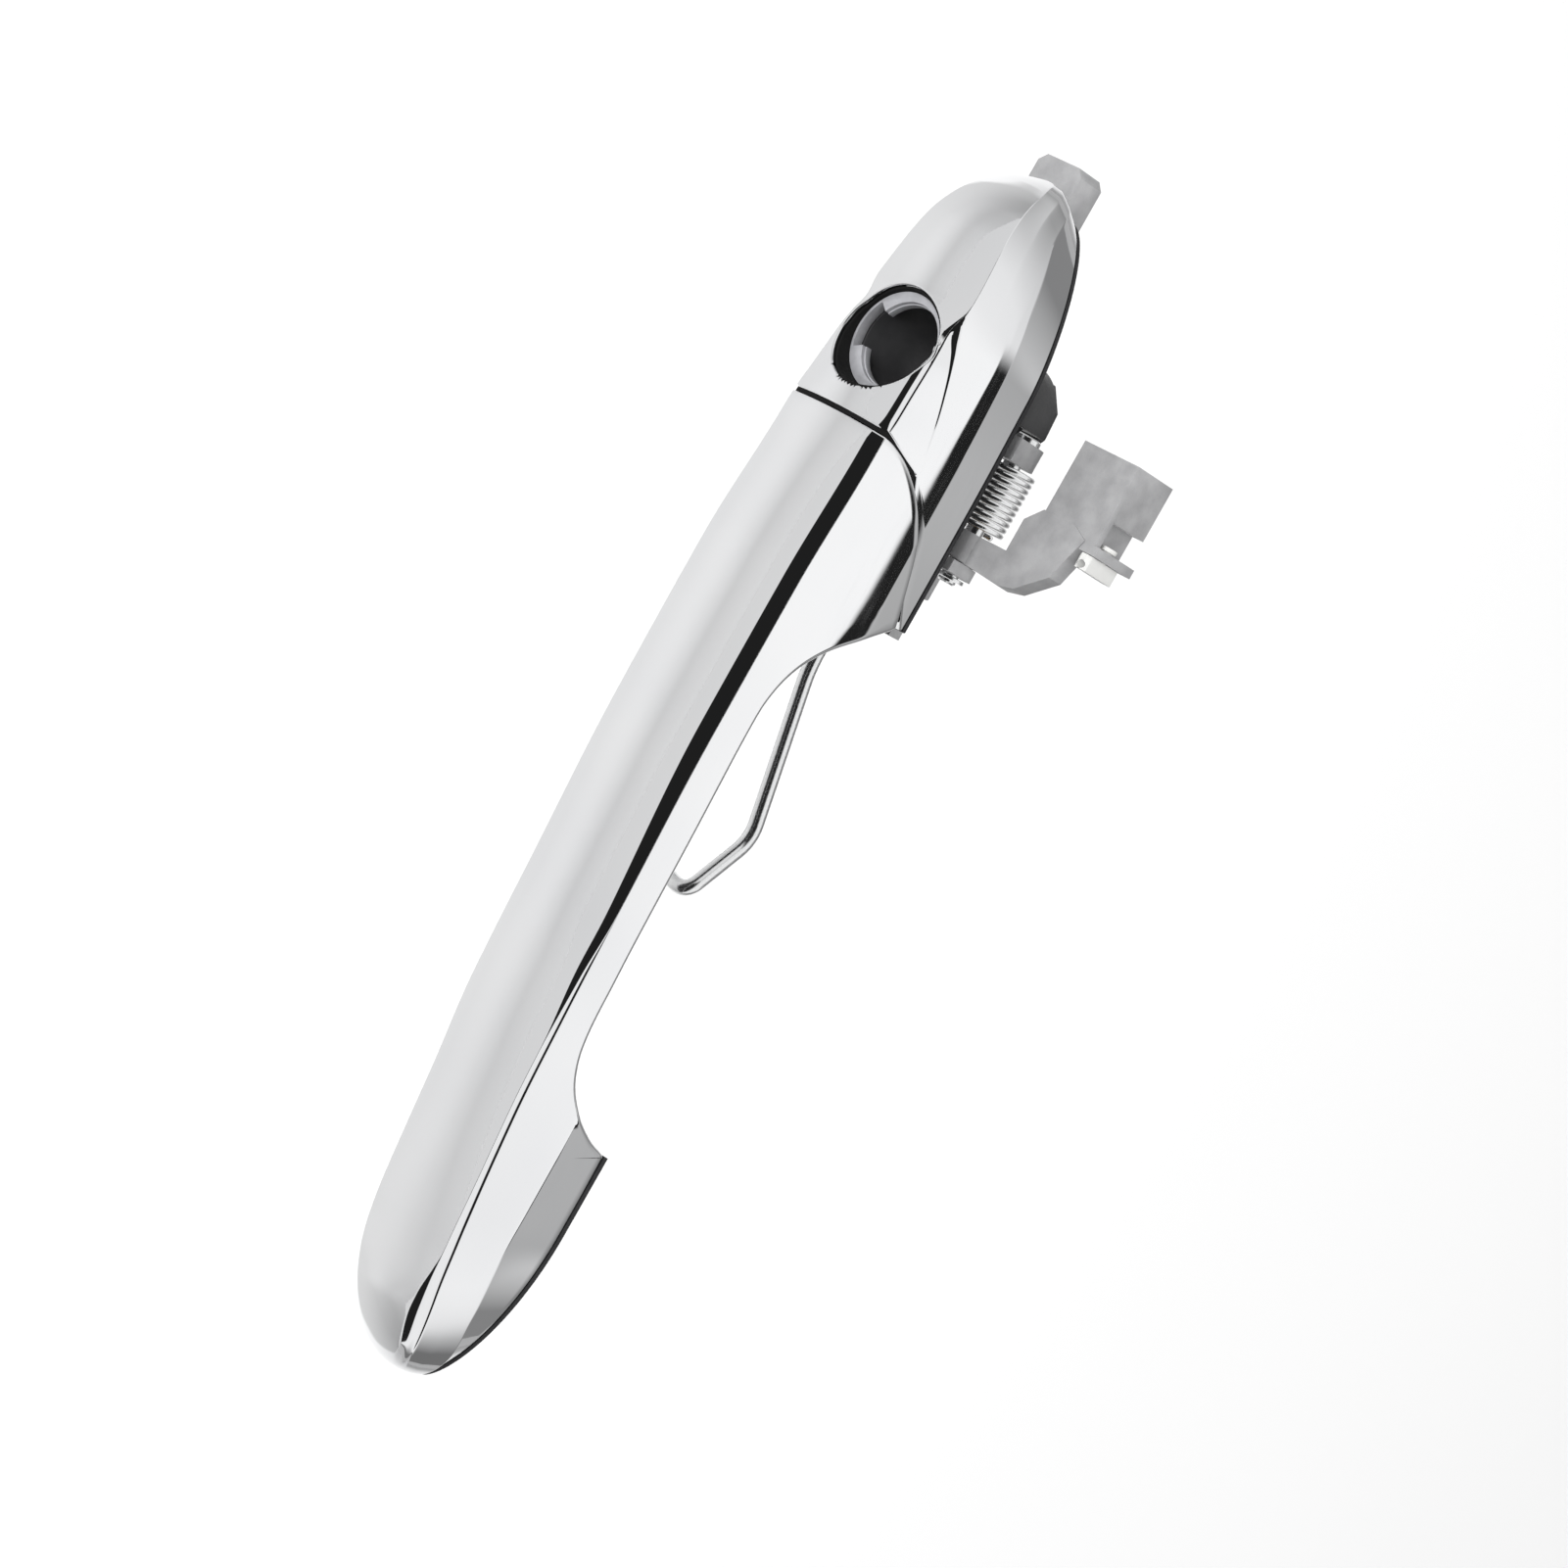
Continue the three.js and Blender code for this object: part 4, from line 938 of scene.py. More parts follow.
def key_liner():
    """Black sleeve of painted shade in the key opening, from just under its rim down to the lock ring: it
    stands in for the shadow on the opening's walls.
    """
    turn = np.linspace(0, 2 * math.pi, 144, endpoint=False)
    x, z = KEY_X + OPENING * np.cos(turn), KEY_Z + OPENING * np.sin(turn)
    rim = cap_point(x, row_of(x, z))[:, 1]
    verts = []
    for angle, surface_y in zip(turn, rim):
        top, shoulder = surface_y + 0.8, surface_y + 1.0
        section = ((KEY_SHADE_OUTER, KEY_SHADE_FOOT), (KEY_SHADE_OUTER, shoulder), (KEY_SHADE_OUTER - 0.12, top),
                   (KEY_SHADE_INNER + 0.12, top), (KEY_SHADE_INNER, shoulder), (KEY_SHADE_INNER, KEY_SHADE_FOOT))
        for radius, level in section:
            verts.append((KEY_X + radius * math.cos(angle), level, KEY_Z + radius * math.sin(angle)))
    faces = tube_faces(len(turn), len(section), closed=True)
    return finished(new_object("key_liner", verts, faces, sharp=40), 40)


# ---------- inner covers ----------
def strip_cover(name, line, thickness, recess, half_of):
    """A thin cover along a line in the plane of station and height, set back by recess to its left side."""
    line = np.array(line, float)
    rings = []
    soft = 0.35
    for depth, narrow in ((recess, soft), (recess + soft, 0), (recess + thickness, 0)):
        edge = shifted(line, -depth)
        half = np.maximum(half_of(edge) - narrow, 0.3)
        rings.append((edge, half))
    section = [(0, -1), (0, 1), (1, 1), (2, 1), (2, -1), (1, -1)]
    verts = []
    for i in range(len(line)):
        for ring, side in section:
            (x, height), half = rings[ring][0][i], rings[ring][1][i]
            verts.append((x, -height, side * half))
    return finished(new_object(name, verts, tube_faces(len(line), len(section)), sharp=35), 35)


def inside_half(edge):
    """Half width inside the shell at points (station, height)."""
    x, height = edge.T
    return side_half(x, np.minimum(height, EDGE(x) - 1)) - SHELL_WALL - 0.2


def grip_cover():
    """Inner cover along the hand gap and up the parting face, with a window for the arm and a screw hole."""
    line, sole = grip_lower_edge(COVER_TOE)
    gap = line[sole + 1:-1]
    heights = np.linspace(3.4, 28.5, 60)
    end_face = np.column_stack([split_x(heights, SPLIT_GAP / 2), heights])
    toe = flowing([gap[-1], [31.9, 3.3], end_face[2]], 8)[1:-1]
    cover = strip_cover("grip_cover", np.vstack([gap, toe, end_face[3:]]), 1.6, 0.5, inside_half)
    window = block("arm_window", (PULL_ARM_X[0] - 0.8, PULL_ARM_X[1] + 0.8), (-14, 0),
                   (-14, PULL_ARM_Z[1] + 0.6))
    access = bar("screw_access", "Y", HEAD_RADIUS + 0.5, -12, 0, GRIP_SCREW[0], 0)
    return cut(cover, window, access)


# ---------- gaskets ----------
GASKET_MARGIN = -0.1   # how far a gasket reaches beyond the shell's base


def base_outline(start, end, margin, steps=60):
    """Plan outline of the handle's base from a straight end to the rounded one, grown by margin."""
    x = start + (end - start) * np.sin(np.linspace(0, math.pi / 2, steps))
    half = np.maximum(BASE_HALF(x) * base_round(x) + margin, 0.1)
    side = list(zip(x, half))
    return side + [(a, -b) for a, b in reversed(side)]


# ---------- mechanism dimensions ----------
KEY_TUBE, KEY_BODY, KEY_POCKET, KEY_TUBE_TOP, KEY_DEPTH = 10.3, 11.0, 9.2, 24.6, 8.8
RING_BORE, RING_SHIFT = 8.1, 1.4                         # the bore lies off centre, towards the near side
RING_RECESS = -37, 24                                    # degrees round the ring's far side
CAP_SCREWS = ((-38, 0, 17), (1, -7.5, 11))               # x, z and how far each reaches outward
SHAFT_RADIUS, HEAD_RADIUS, HEAD_HEIGHT = 1.4, 2.9, 2.4
GRIP_SCREW = (26, 13.5, 14)                              # x, seat height, length
FOOT_SCREW = (160, 8.0, 10)
PULL_ARM_X, PULL_ARM_Z = (17.6, 21.4), (-10.6, -5.0)
ARM_TOP, ARM_TIP, ARM_HOOK = 17.0, 21.6, 12.6
HINGE_X, HINGE_Y, HINGE_RADIUS, HINGE_HALF, HINGE_CHEEK = 181, -5.5, 1.5, 2.4, 1.3
PLATE = (0.9, 4.0)
NEAR_EAR, FAR_EAR, EAR_RADIUS = (13.1, 15.5), (-12.1, -7.6), 4.0
PIN_RADIUS, HUB_RADIUS, HUB_BORE, HUB_X = 1.8, 4.1, 2.75, (7.2, 12.8)
WEB_Y = (6.6, 10.4)
BLOCK_X, BLOCK_Y, BLOCK_Z = (-17.2, -0.6), (7, 18.2), (21.8, 36.2)
COIL_X, COIL_RADIUS, COIL_WIRE, COIL_TURNS = (-6.6, 6.2), 4.7, 1.15, 11
FINGER_REACH, FINGER_ANGLE, FINGER_RADIUS = 18, math.radians(26.4), 1.8
CLIP_X, CLIP_Y, CLIP_Z = (1.05, 4.0), (6.9, 16.6), (33.7, 36.6)
PEG_Y, PEG_Z = 11.7, 35.4
WIRE_RADIUS, WIRE_Z = 1.5, (-6.1, -23.6)
SLOT_X, SLOT_Z = (4, 22.5), (-12.5, 3.5)


HINGE_SCREWS = (161, 171)                                # x
HINGE_SCREW_LENGTH = 2.6
SCREW_HOLE, ROOM = 1.7, 0.3                              # clearance hole, and clearance round the lock tunnel
TAB_FACE, WALL_Y = 7.6, 9                                # how far the tab and the side wall reach inward
HOLDER_X, WIRE_Y = (26, 35.5), 3.1
THROUGH = (-40, 40)                                      # long enough to cut through anything


def key_bar(name, radius, low, high):
    """Cylinder along Y about the key opening's axis."""
    return bar(name, "Y", radius, low, high, KEY_X, KEY_Z, 96)


def pivot_bar(name, radius, span, sides=64):
    """Cylinder along X about the lever's pin."""
    return bar(name, "X", radius, *span, PIVOT_Y, PIVOT_Z, sides)


# ---------- base pieces ----------
def rear_gasket():
    outline = base_outline(REAR_FOOT_END, KEY_BASE + 0.01, GASKET_MARGIN)
    pad = prism("rear_gasket_moulded", outline, "Y", -GASKET, 0)
    tools = [key_bar("cut_key", KEY_BODY + ROOM, -3, 3),
             block("cut_slot", SLOT_X, (-3, 3), (SLOT_Z[0] + 1.2, SLOT_Z[1]))]
    tools += [bar("cut_screw", "Y", SCREW_HOLE + 0.1, -3, 3, x, z, 24) for x, z, _ in CAP_SCREWS]
    return eased(cut(pad, *tools), 0.25, 2)


def front_gasket():
    outline = base_outline(FOOT_END, FOOT_BASE - 0.01, GASKET_MARGIN)
    pad = prism("front_gasket_moulded", outline, "Y", -GASKET, 0)
    return eased(cut(pad, block("cut_window", (152, 184), (-3, 2), (-4.2, 4.2))), 0.25, 2)


def ear(name, span):
    """Round-ended ear of the bracket over a span of X."""
    post = block(name, span, (PLATE[1] - 0.8, PIVOT_Y), (PIVOT_Z - EAR_RADIUS, PIVOT_Z + EAR_RADIUS))
    return add(post, pivot_bar("ear_end", EAR_RADIUS, span))


def base_bracket():
    """Cast bracket inside the door: plate, side wall, rounded tab, wire holder and the two ears."""
    outline = [(31, 9), (-12.4, 9), (-28, 6), (-38, 3.6), (-46, 0), (-46, -16), (31, -16)]
    plate = prism("bracket_cast", outline, "Y", *PLATE)
    tab = prism("tab", [(-59.4, -17), (-43, -17), (-43, -5.3), (-59.4, -5.3), (-61, -6.9), (-61, -15.4)],
                "Y", PLATE[0], TAB_FACE)
    holder = block("holder", HOLDER_X, (PLATE[0], 5.4), (-27, -2.5))
    wall = block("wall", (-44, 31), (PLATE[0], WALL_Y), (-16, -14))
    solid = add(plate, tab, holder, wall, ear("near_ear", NEAR_EAR), ear("far_ear", FAR_EAR))
    tunnel = key_bar("cut_tunnel", KEY_BODY + ROOM, -5, 30)
    tools = [cut(tunnel, block("kept_corner", (-13.5, 6), (-3, 31), (2.2, 21))),
             block("cut_slot", SLOT_X, (-5, 12), SLOT_Z),
             pivot_bar("cut_pin", PIN_RADIUS + 0.06, (-30, 30), 48),
             pivot_bar("cut_coil", COIL_RADIUS + 1.1, (FAR_EAR[1], HUB_X[1] + 0.1))]
    tools += [bar("cut_screw", "Y", SCREW_HOLE, -5, 9, x, z, 24) for x, z, _ in CAP_SCREWS]
    tools += [bar("cut_wire", "X", WIRE_RADIUS + 0.1, 29, 40, WIRE_Y, z, 32) for z in WIRE_Z]
    return eased(cut(solid, *tools), 0.45, 3)


def lock_tunnel():
    """Tube behind the key opening, with a wider body and a shoulder inside the door."""
    body = key_bar("tunnel_body", KEY_BODY, 0.2, KEY_DEPTH)
    body = cut(body, block("ear_corner", (-13.8, 5), (-0.2, 30), (1.9, 20)))
    outline = [(-24, 1.9), (-12.3, 1.9), (-12.3, 8.6), (-14.2, 9.8), (-19.5, 9.4), (-24, 5.5)]
    shoulder = prism("shoulder", outline, "Y", 2.2, 11)
    hollow = block("shoulder_pocket", (-16.4, -12), (4.6, 9.4), (3.4, 20))
    body = add(body, cut(shoulder, hollow))
    tube = add(key_bar("lock_tunnel_moulded", KEY_TUBE, -KEY_TUBE_TOP, 0.5), body)
    pocket = key_bar("pocket", KEY_POCKET, THROUGH[0], 0.3)
    tail = bar("tail_hole", "Y", 3.2, -1, 30, KEY_X - 3.5, KEY_Z - 1.5, 32)
    return eased(cut(tube, pocket, tail), 0.3, 2)


def lock_ring():
    """Ring in the mouth of the tunnel, its bore off centre and recessed at one side."""
    outer, top = KEY_TUBE - 0.42, -(KEY_TUBE_TOP + 2.7)
    ring = key_bar("lock_ring_cast", outer, top, -(KEY_TUBE_TOP + ROOM))
    tools = [bar("ring_bore", "Y", RING_BORE, THROUGH[0], 0, KEY_X, KEY_Z + RING_SHIFT, 96),
             bar("ring_step", "Y", RING_BORE + 0.25, THROUGH[0], top + 0.9, KEY_X, KEY_Z + RING_SHIFT, 96)]
    reach = outer - 0.5
    turn = np.radians(np.linspace(*RING_RECESS, 24))
    recess = [(KEY_X, KEY_Z)] + list(zip(KEY_X + reach * np.sin(turn), KEY_Z - reach * np.cos(turn)))
    tools.append(prism("ring_recess", recess, "Y", THROUGH[0], 0))
    return eased(cut(ring, *tools), 0.2, 2)


def screw(name, x, z, seat, reach):
    """Pan-head screw along Y with a hexagon socket and its shaft pointing outward."""
    head = HEAD_HEIGHT
    profile = [(0.01, seat - reach), (SHAFT_RADIUS * 0.7, seat - reach), (SHAFT_RADIUS, seat - reach + 0.6),
               (SHAFT_RADIUS, seat), (HEAD_RADIUS - 0.2, seat), (HEAD_RADIUS, seat + 0.2),
               (HEAD_RADIUS, seat + head * 0.6), (HEAD_RADIUS * 0.8, seat + head * 0.92), (0.01, seat + head)]
    body = lathe(name, "Y", profile, 0, 0, 40)
    for vertex in body.data.vertices:
        vertex.co.x += x * MM
        vertex.co.z += z * MM
    socket = bar("socket", "Y", 1.3, seat + 0.9, seat + 6, x, z, 6)
    return eased(cut(body, socket), 0.06, 1, 60)


def bump_stop():
    """Rubber buffer square to the parting face, with its seat disc."""
    reach = 4.3
    profile = [(0.01, -reach), (3.0, -reach), (3.2, -reach + 0.2), (3.2, -2.6), (2.2, -2.4), (2.2, -0.4),
               (1.9, -0.05), (0.01, 0.05)]
    stop = lathe("bump_stop_moulded", "Y", profile, 0, 0, 40)
    place = Matrix.Translation(Vector((11.3, -10.45, 5)) * MM)
    tilt = Matrix.Rotation(math.radians(40), 4, "Z")
    stop.data.transform(place @ tilt @ Matrix.Scale(-1, 4, (0, 1, 0)))
    face_out(stop)
    return stop


def pivot_pin():
    """Pin from its head beyond the far ear to the grooved end beyond the near ear."""
    head, end = FAR_EAR[0] - 1.2, 17.4
    groove = NEAR_EAR[1] + 0.35, NEAR_EAR[1] + 1.15
    profile = [(0.01, head), (2.6, head), (2.9, head + 0.25), (2.9, FAR_EAR[0] - 0.1),
               (PIN_RADIUS, FAR_EAR[0] - 0.1), (PIN_RADIUS, groove[0]), (1.25, groove[0]),
               (1.25, groove[1]), (PIN_RADIUS, groove[1]),
               (PIN_RADIUS, end - 0.35), (PIN_RADIUS - 0.35, end), (0.01, end)]
    return lathe("pivot_pin_turned", "X", profile, PIVOT_Y, PIVOT_Z, 48)


def pin_clip():
    low, high = NEAR_EAR[1] + 0.4, NEAR_EAR[1] + 1.1
    disc = pivot_bar("pin_clip_stamped", 3.1, (low, high))
    hole = pivot_bar("clip_hole", 1.3, (10, 20), 40)
    slot = block("clip_slot", (10, 20), (PIVOT_Y, PIVOT_Y + 6), (PIVOT_Z - 1.2, PIVOT_Z + 1.2))
    return eased(cut(disc, hole, slot), 0.12, 2)


def coil_spring():
    """Torsion spring: close turns round the pin."""
    turn = np.linspace(0, 2 * math.pi * COIL_TURNS, COIL_TURNS * 40)
    x = np.linspace(*COIL_X, len(turn))
    path = np.column_stack([x, PIVOT_Y + COIL_RADIUS * np.cos(turn), PIVOT_Z + COIL_RADIUS * np.sin(turn)])
    return sweep("return_spring_wound", path, COIL_WIRE / 2, 14)


def wire_loop():
    """Sprung wire bail: two legs in the bracket, a knee in each, and a closed end."""
    near, far = WIRE_Z

    def leg(z):
        return [(30, WIRE_Y, z), (43, WIRE_Y, z), (76, 12.6, z), (90.4, 4, z)]
    corners = leg(near) + [(88.6, 4, (near + far) / 2)] + leg(far)[::-1]
    return sweep("retaining_wire_bent", rounded_path(corners, 3.5, 12), WIRE_RADIUS, 32)


def hinge_bracket():
    """Plate inside the front foot with two cheeks for the hinge pin."""
    plate = block("hinge_bracket_cast", (155.5, 183.4), (PLATE[0], 2.6), (-3.9, 3.9))
    legs = []
    for side in (-1, 1):
        span = sorted((HINGE_HALF * side, (HINGE_HALF + HINGE_CHEEK) * side))
        outline = [(HINGE_X - 3.6, 2), (HINGE_X + 2.3, 2), (HINGE_X + 2.4, HINGE_Y), (HINGE_X - 2.4, HINGE_Y)]
        legs.append(prism("cheek", outline, "Z", *span))
        legs.append(bar("cheek_end", "Z", 2.4, *span, HINGE_X, HINGE_Y, 48))
    solid = add(plate, *legs)
    tools = [bar("cut_hinge", "Z", HINGE_RADIUS + 0.06, -8, 8, HINGE_X, HINGE_Y, 40)]
    tools += [bar("cut_screw", "Y", SCREW_HOLE - 0.1, -3, 5, x, 0, 24) for x in HINGE_SCREWS]
    return eased(cut(solid, *tools), 0.25, 2)


def hinge_pin():
    end = HINGE_HALF + HINGE_CHEEK
    profile = [(0.01, -end - 0.1), (HINGE_RADIUS - 0.25, -end - 0.1), (HINGE_RADIUS, -end + 0.15),
               (HINGE_RADIUS, end - 0.25), (HINGE_RADIUS - 0.25, end), (0.01, end)]
    return lathe("hinge_pin_turned", "Z", profile, HINGE_X, HINGE_Y, 40)


# ---------- grip's arms ----------
def pull_arm():
    """Cast arm screwed to the grip's rear foot: through the door, then a hook under the lever's finger."""
    finger_y = PIVOT_Y + FINGER_REACH * math.sin(FINGER_ANGLE)
    pad = block("pull_arm_cast", (15.5, 31), (-ARM_TOP, -GRIP_SCREW[1]), (PULL_ARM_Z[0], 4))
    arm = block("arm", PULL_ARM_X, (-ARM_TOP, ARM_TIP), PULL_ARM_Z)
    hook = block("hook", (ARM_HOOK, PULL_ARM_X[1]), (finger_y + FINGER_RADIUS + 0.45, ARM_TIP), PULL_ARM_Z)
    seat, side = GRIP_SCREW[1] + 0.5, PULL_ARM_X[1]
    rib = prism("rib", [(side - 0.5, -seat), (side + 3, -seat), (side - 0.5, -9)], "Z",
                PULL_ARM_Z[0] + 2, PULL_ARM_Z[1] - 1)
    hole = bar("arm_hole", "Y", SCREW_HOLE, THROUGH[0], 0, GRIP_SCREW[0], 0, 24)
    return eased(cut(add(pad, arm, hook, rib), hole), 0.35, 2)


def hinge_arm():
    """Cast hook screwed into the grip's front foot, with the eye for the hinge pin."""
    seat, half = FOOT_SCREW[1], HINGE_HALF - 0.3
    pad = block("hinge_arm_cast", (152, 167), (-seat - 3.5, -seat), (-6, 6))
    eye_radius = 3.2
    outline = [(165, -seat - 3.5), (HINGE_X, HINGE_Y - eye_radius), (HINGE_X, HINGE_Y + eye_radius),
               (165, -seat + 2)]
    arm = prism("arm", outline, "Z", -half, half)
    eye = bar("eye", "Z", eye_radius, -half, half, HINGE_X, HINGE_Y, 48)
    tools = [bar("eye_hole", "Z", HINGE_RADIUS + 0.3, -8, 8, HINGE_X, HINGE_Y, 40),
             bar("arm_hole", "Y", SCREW_HOLE, THROUGH[0], 0, FOOT_SCREW[0], 0, 24)]
    return eased(cut(add(pad, arm, eye), *tools), 0.3, 2)


# ---------- lever ----------
def bell_crank():
    """Cast lever: hub on the pin, finger towards the pull arm, web, counterweight block and clip tab."""
    reach = FINGER_REACH
    finger_y = PIVOT_Y + reach * math.sin(FINGER_ANGLE)
    finger_z = PIVOT_Z - reach * math.cos(FINGER_ANGLE)
    cos, sin = math.cos(FINGER_ANGLE), math.sin(FINGER_ANGLE)
    outline = [(PIVOT_Y - cos * 2.6, PIVOT_Z - sin * 2.6), (PIVOT_Y + cos * 2.6, PIVOT_Z + sin * 2.6),
               (finger_y + cos * 1.6, finger_z + sin * 1.6), (finger_y - cos * 1.6, finger_z - sin * 1.6)]
    arm = prism("arm", outline, "X", HUB_X[0], HUB_X[0] + 2.3)
    finger = bar("finger", "X", FINGER_RADIUS, HUB_X[0], 14.8, finger_y, finger_z, 40)
    outline = [(13, PIVOT_Z), (13, 12.5), (13.6, 20.6), (12.8, 24.6), (8, 30.8), (5.4, 31.6), (-0.9, 33.8),
               (-2.6, 30), (-2.6, 21.8), (0.6, 18.6), (7.2, 18.6), (7.2, PIVOT_Z)]
    web = prism("web", outline, "Y", *WEB_Y)
    weight = block("weight", BLOCK_X, BLOCK_Y, BLOCK_Z)
    link = block("link", (-2.6, 0.9), (8.4, 12.4), (22.5, 33.4))
    hub = pivot_bar("bell_crank_cast", HUB_RADIUS, HUB_X)
    solid = add(hub, arm, finger, web, weight, link)
    solid = cut(solid, block("notch", (-6.2, 2), (8.6, 30), (33.4, 50)))
    solid = add(solid, block("clip_tab", (-0.9, 0.9), (WEB_Y[0] + 0.4, 18.6), (30.6, 37.4)))
    solid = cut(solid, pivot_bar("hub_bore", HUB_BORE, (0, 20)),
                bar("peg_hole", "X", 1.4, -3, 1.1, PEG_Y, PEG_Z, 40))
    return eased(solid, 0.5, 3)


def hub_bush():
    low, high = HUB_X[0] + 0.1, HUB_X[1] - 0.1
    outer, inner = HUB_BORE - 0.1, PIN_RADIUS + 0.25
    profile = [(inner, low + 0.1), (inner + 0.1, low), (outer - 0.15, low), (outer, low + 0.15),
               (outer, high - 0.15), (outer - 0.15, high), (inner + 0.1, high), (inner, high - 0.1)]
    return lathe("hub_bush_turned", "X", profile, PIVOT_Y, PIVOT_Z, 64)


def rod_clip():
    """Moulded clip for the door's pull rod, pegged to the lever's tab."""
    low, high, corner = CLIP_Y, CLIP_Z, 0.8
    outline = [(low[0], high[0] + corner), (low[0] + corner, high[0]), (low[1] - corner, high[0]),
               (low[1], high[0] + corner), (low[1], high[1] - corner), (low[1] - corner, high[1]),
               (low[0] + corner, high[1]), (low[0], high[1] - corner)]
    body = prism("rod_clip_moulded", outline, "X", *CLIP_X)
    peg = bar("peg", "X", 1.1, -1.4, 1.4, PEG_Y, PEG_Z, 40)
    body = add(body, peg, bar("peg_head", "X", 1.8, -2.0, -1.2, PEG_Y, PEG_Z, 40))
    return eased(cut(body, bar("rod_hole", "Y", 0.8, 0, 30, 3.1, PEG_Z, 24)), 0.2, 2)


# ---------- build every piece ----------
settle(grip_shell(), "grip", CHROME, "chrome", "grip_shell")
settle(grip_cover(), "grip", BLACK_PLASTIC, "black_plastic", "grip_back")
ARMS = (pull_arm, "pull_arm", GRIP_SCREW), (hinge_arm, "hinge_arm", FOOT_SCREW)
for arm, node, (x, seat, length) in ARMS:
    settle(arm(), "grip", ZINC, "cast_metal", node)
    fastener = screw(f"{node}_screw_turned", x, 0, -seat + 0.1, length)
    settle(fastener, "grip", STEEL, "steel", f"{node}_screw")
settle(cap_shell(), "base", CHROME, "chrome", "key_cap")
# painted shade: this black sleeve stands in for the shadow inside the key opening
settle(key_liner(), "base", SHADE_BLACK, "black_plastic")
# painted shade: this black strip stands in for the shadow in the parting gap
settle(parting_seal(), "base", SHADE_BLACK, "black_plastic")
settle(rear_gasket(), "base", RUBBER, "rubber", "rear_gasket")
soft_pad = settle(front_gasket(), "base", RUBBER, "rubber", "front_gasket")
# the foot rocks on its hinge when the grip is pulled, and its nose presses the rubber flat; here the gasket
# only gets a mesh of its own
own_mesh(soft_pad)
settle(base_bracket(), "base", ZINC, "cast_metal", "base_bracket")
settle(lock_tunnel(), "base", BLACK_PLASTIC, "black_plastic", "lock_tunnel")
settle(lock_ring(), "base", RING_GREY, "ring_grey", "lock_ring")
settle(bump_stop(), "base", RUBBER, "rubber", "bump_stop")
settle(pivot_pin(), "base", STEEL, "steel", "pivot_pin")
settle(pin_clip(), "base", STEEL, "steel", "pin_clip")
settle(coil_spring(), "base", STEEL, "steel", "return_spring")
settle(wire_loop(), "base", STEEL, "steel", "retaining_wire")
for number, (x, z, reach) in enumerate(CAP_SCREWS, 1):
    fastener = screw(f"cap_screw_turned_{number}", x, z, PLATE[1] + 0.05, reach + 3)
    settle(fastener, "base", STEEL, "steel", f"cap_screw_{number}")
settle(hinge_bracket(), "base", ZINC, "cast_metal", "hinge_bracket")
settle(hinge_pin(), "base", STEEL, "steel", "hinge_pin")
for number, x in enumerate(HINGE_SCREWS, 1):
    fastener = screw(f"hinge_screw_turned_{number}", x, 0, HINGE_SCREW_LENGTH + 0.05, HINGE_SCREW_LENGTH)
    settle(fastener, "base", STEEL, "steel", f"hinge_screw_{number}")
settle(bell_crank(), "crank", ZINC, "cast_metal", "bell_crank")
settle(hub_bush(), "crank", BRONZE, "bronze", "hub_bush")
settle(rod_clip(), "clip", CLIP_PLASTIC, "clip_plastic", "rod_clip")


# the mechanism is hidden from glossy rays, so the plating doesn't mirror it
UNMIRRORED = "bell_crank", "rod_clip", "return_spring", "pivot_pin", "pin_clip", "lock_tunnel"
for piece in bpy.data.objects:
    if piece.name.startswith(UNMIRRORED):
        piece.visible_glossy = False


# ---------- camera, light and floor ----------
scene = bpy.context.scene
FLOOR_Z = -1.0
FLOOR_SPAN = -6, 6, -3, 6          # left, right, front, behind
PAPER_END = 3.5
# tone of the floor from its front backwards: greyer where only the plating mirrors it
PAPER = ((-3, 0.9), (-1.9, 0.76), (-1.1, 0.62), (-0.4, 0.555), (0.32, 0.59), (0.44, 0.89), (2.2, 0.89),
         (PAPER_END, 0.6))
CAMERA_RISE, CAMERA_ROLL = math.radians(42), math.radians(-119.6)
CAMERA_TARGET, CAMERA_DISTANCE, CAMERA_LENS = (64, 6.2, 0), 1.3, 162.8


def add_camera():
    """Three-quarter view from above the near side, rolled so that the handle runs up the picture."""
    rise, roll = CAMERA_RISE, CAMERA_ROLL
    back = Vector((0, -math.cos(rise), math.sin(rise)))
    right, up = Vector((1, 0, 0)), Vector((0, math.sin(rise), math.cos(rise)))
    turned_right = right * math.cos(roll) - up * math.sin(roll)
    turned_up = right * math.sin(roll) + up * math.cos(roll)
    data = bpy.data.cameras.new("photo_camera")
    data.sensor_width = 36
    data.lens = CAMERA_LENS
    camera = bpy.data.objects.new("photo_camera", data)
    scene.collection.objects.link(camera)
    target = Vector(CAMERA_TARGET) * MM
    turn = Matrix((turned_right, turned_up, back)).transposed().to_4x4()
    camera.matrix_world = Matrix.Translation(target + back * CAMERA_DISTANCE) @ turn
    data.clip_start, data.clip_end = 0.01, 20
    scene.camera = camera


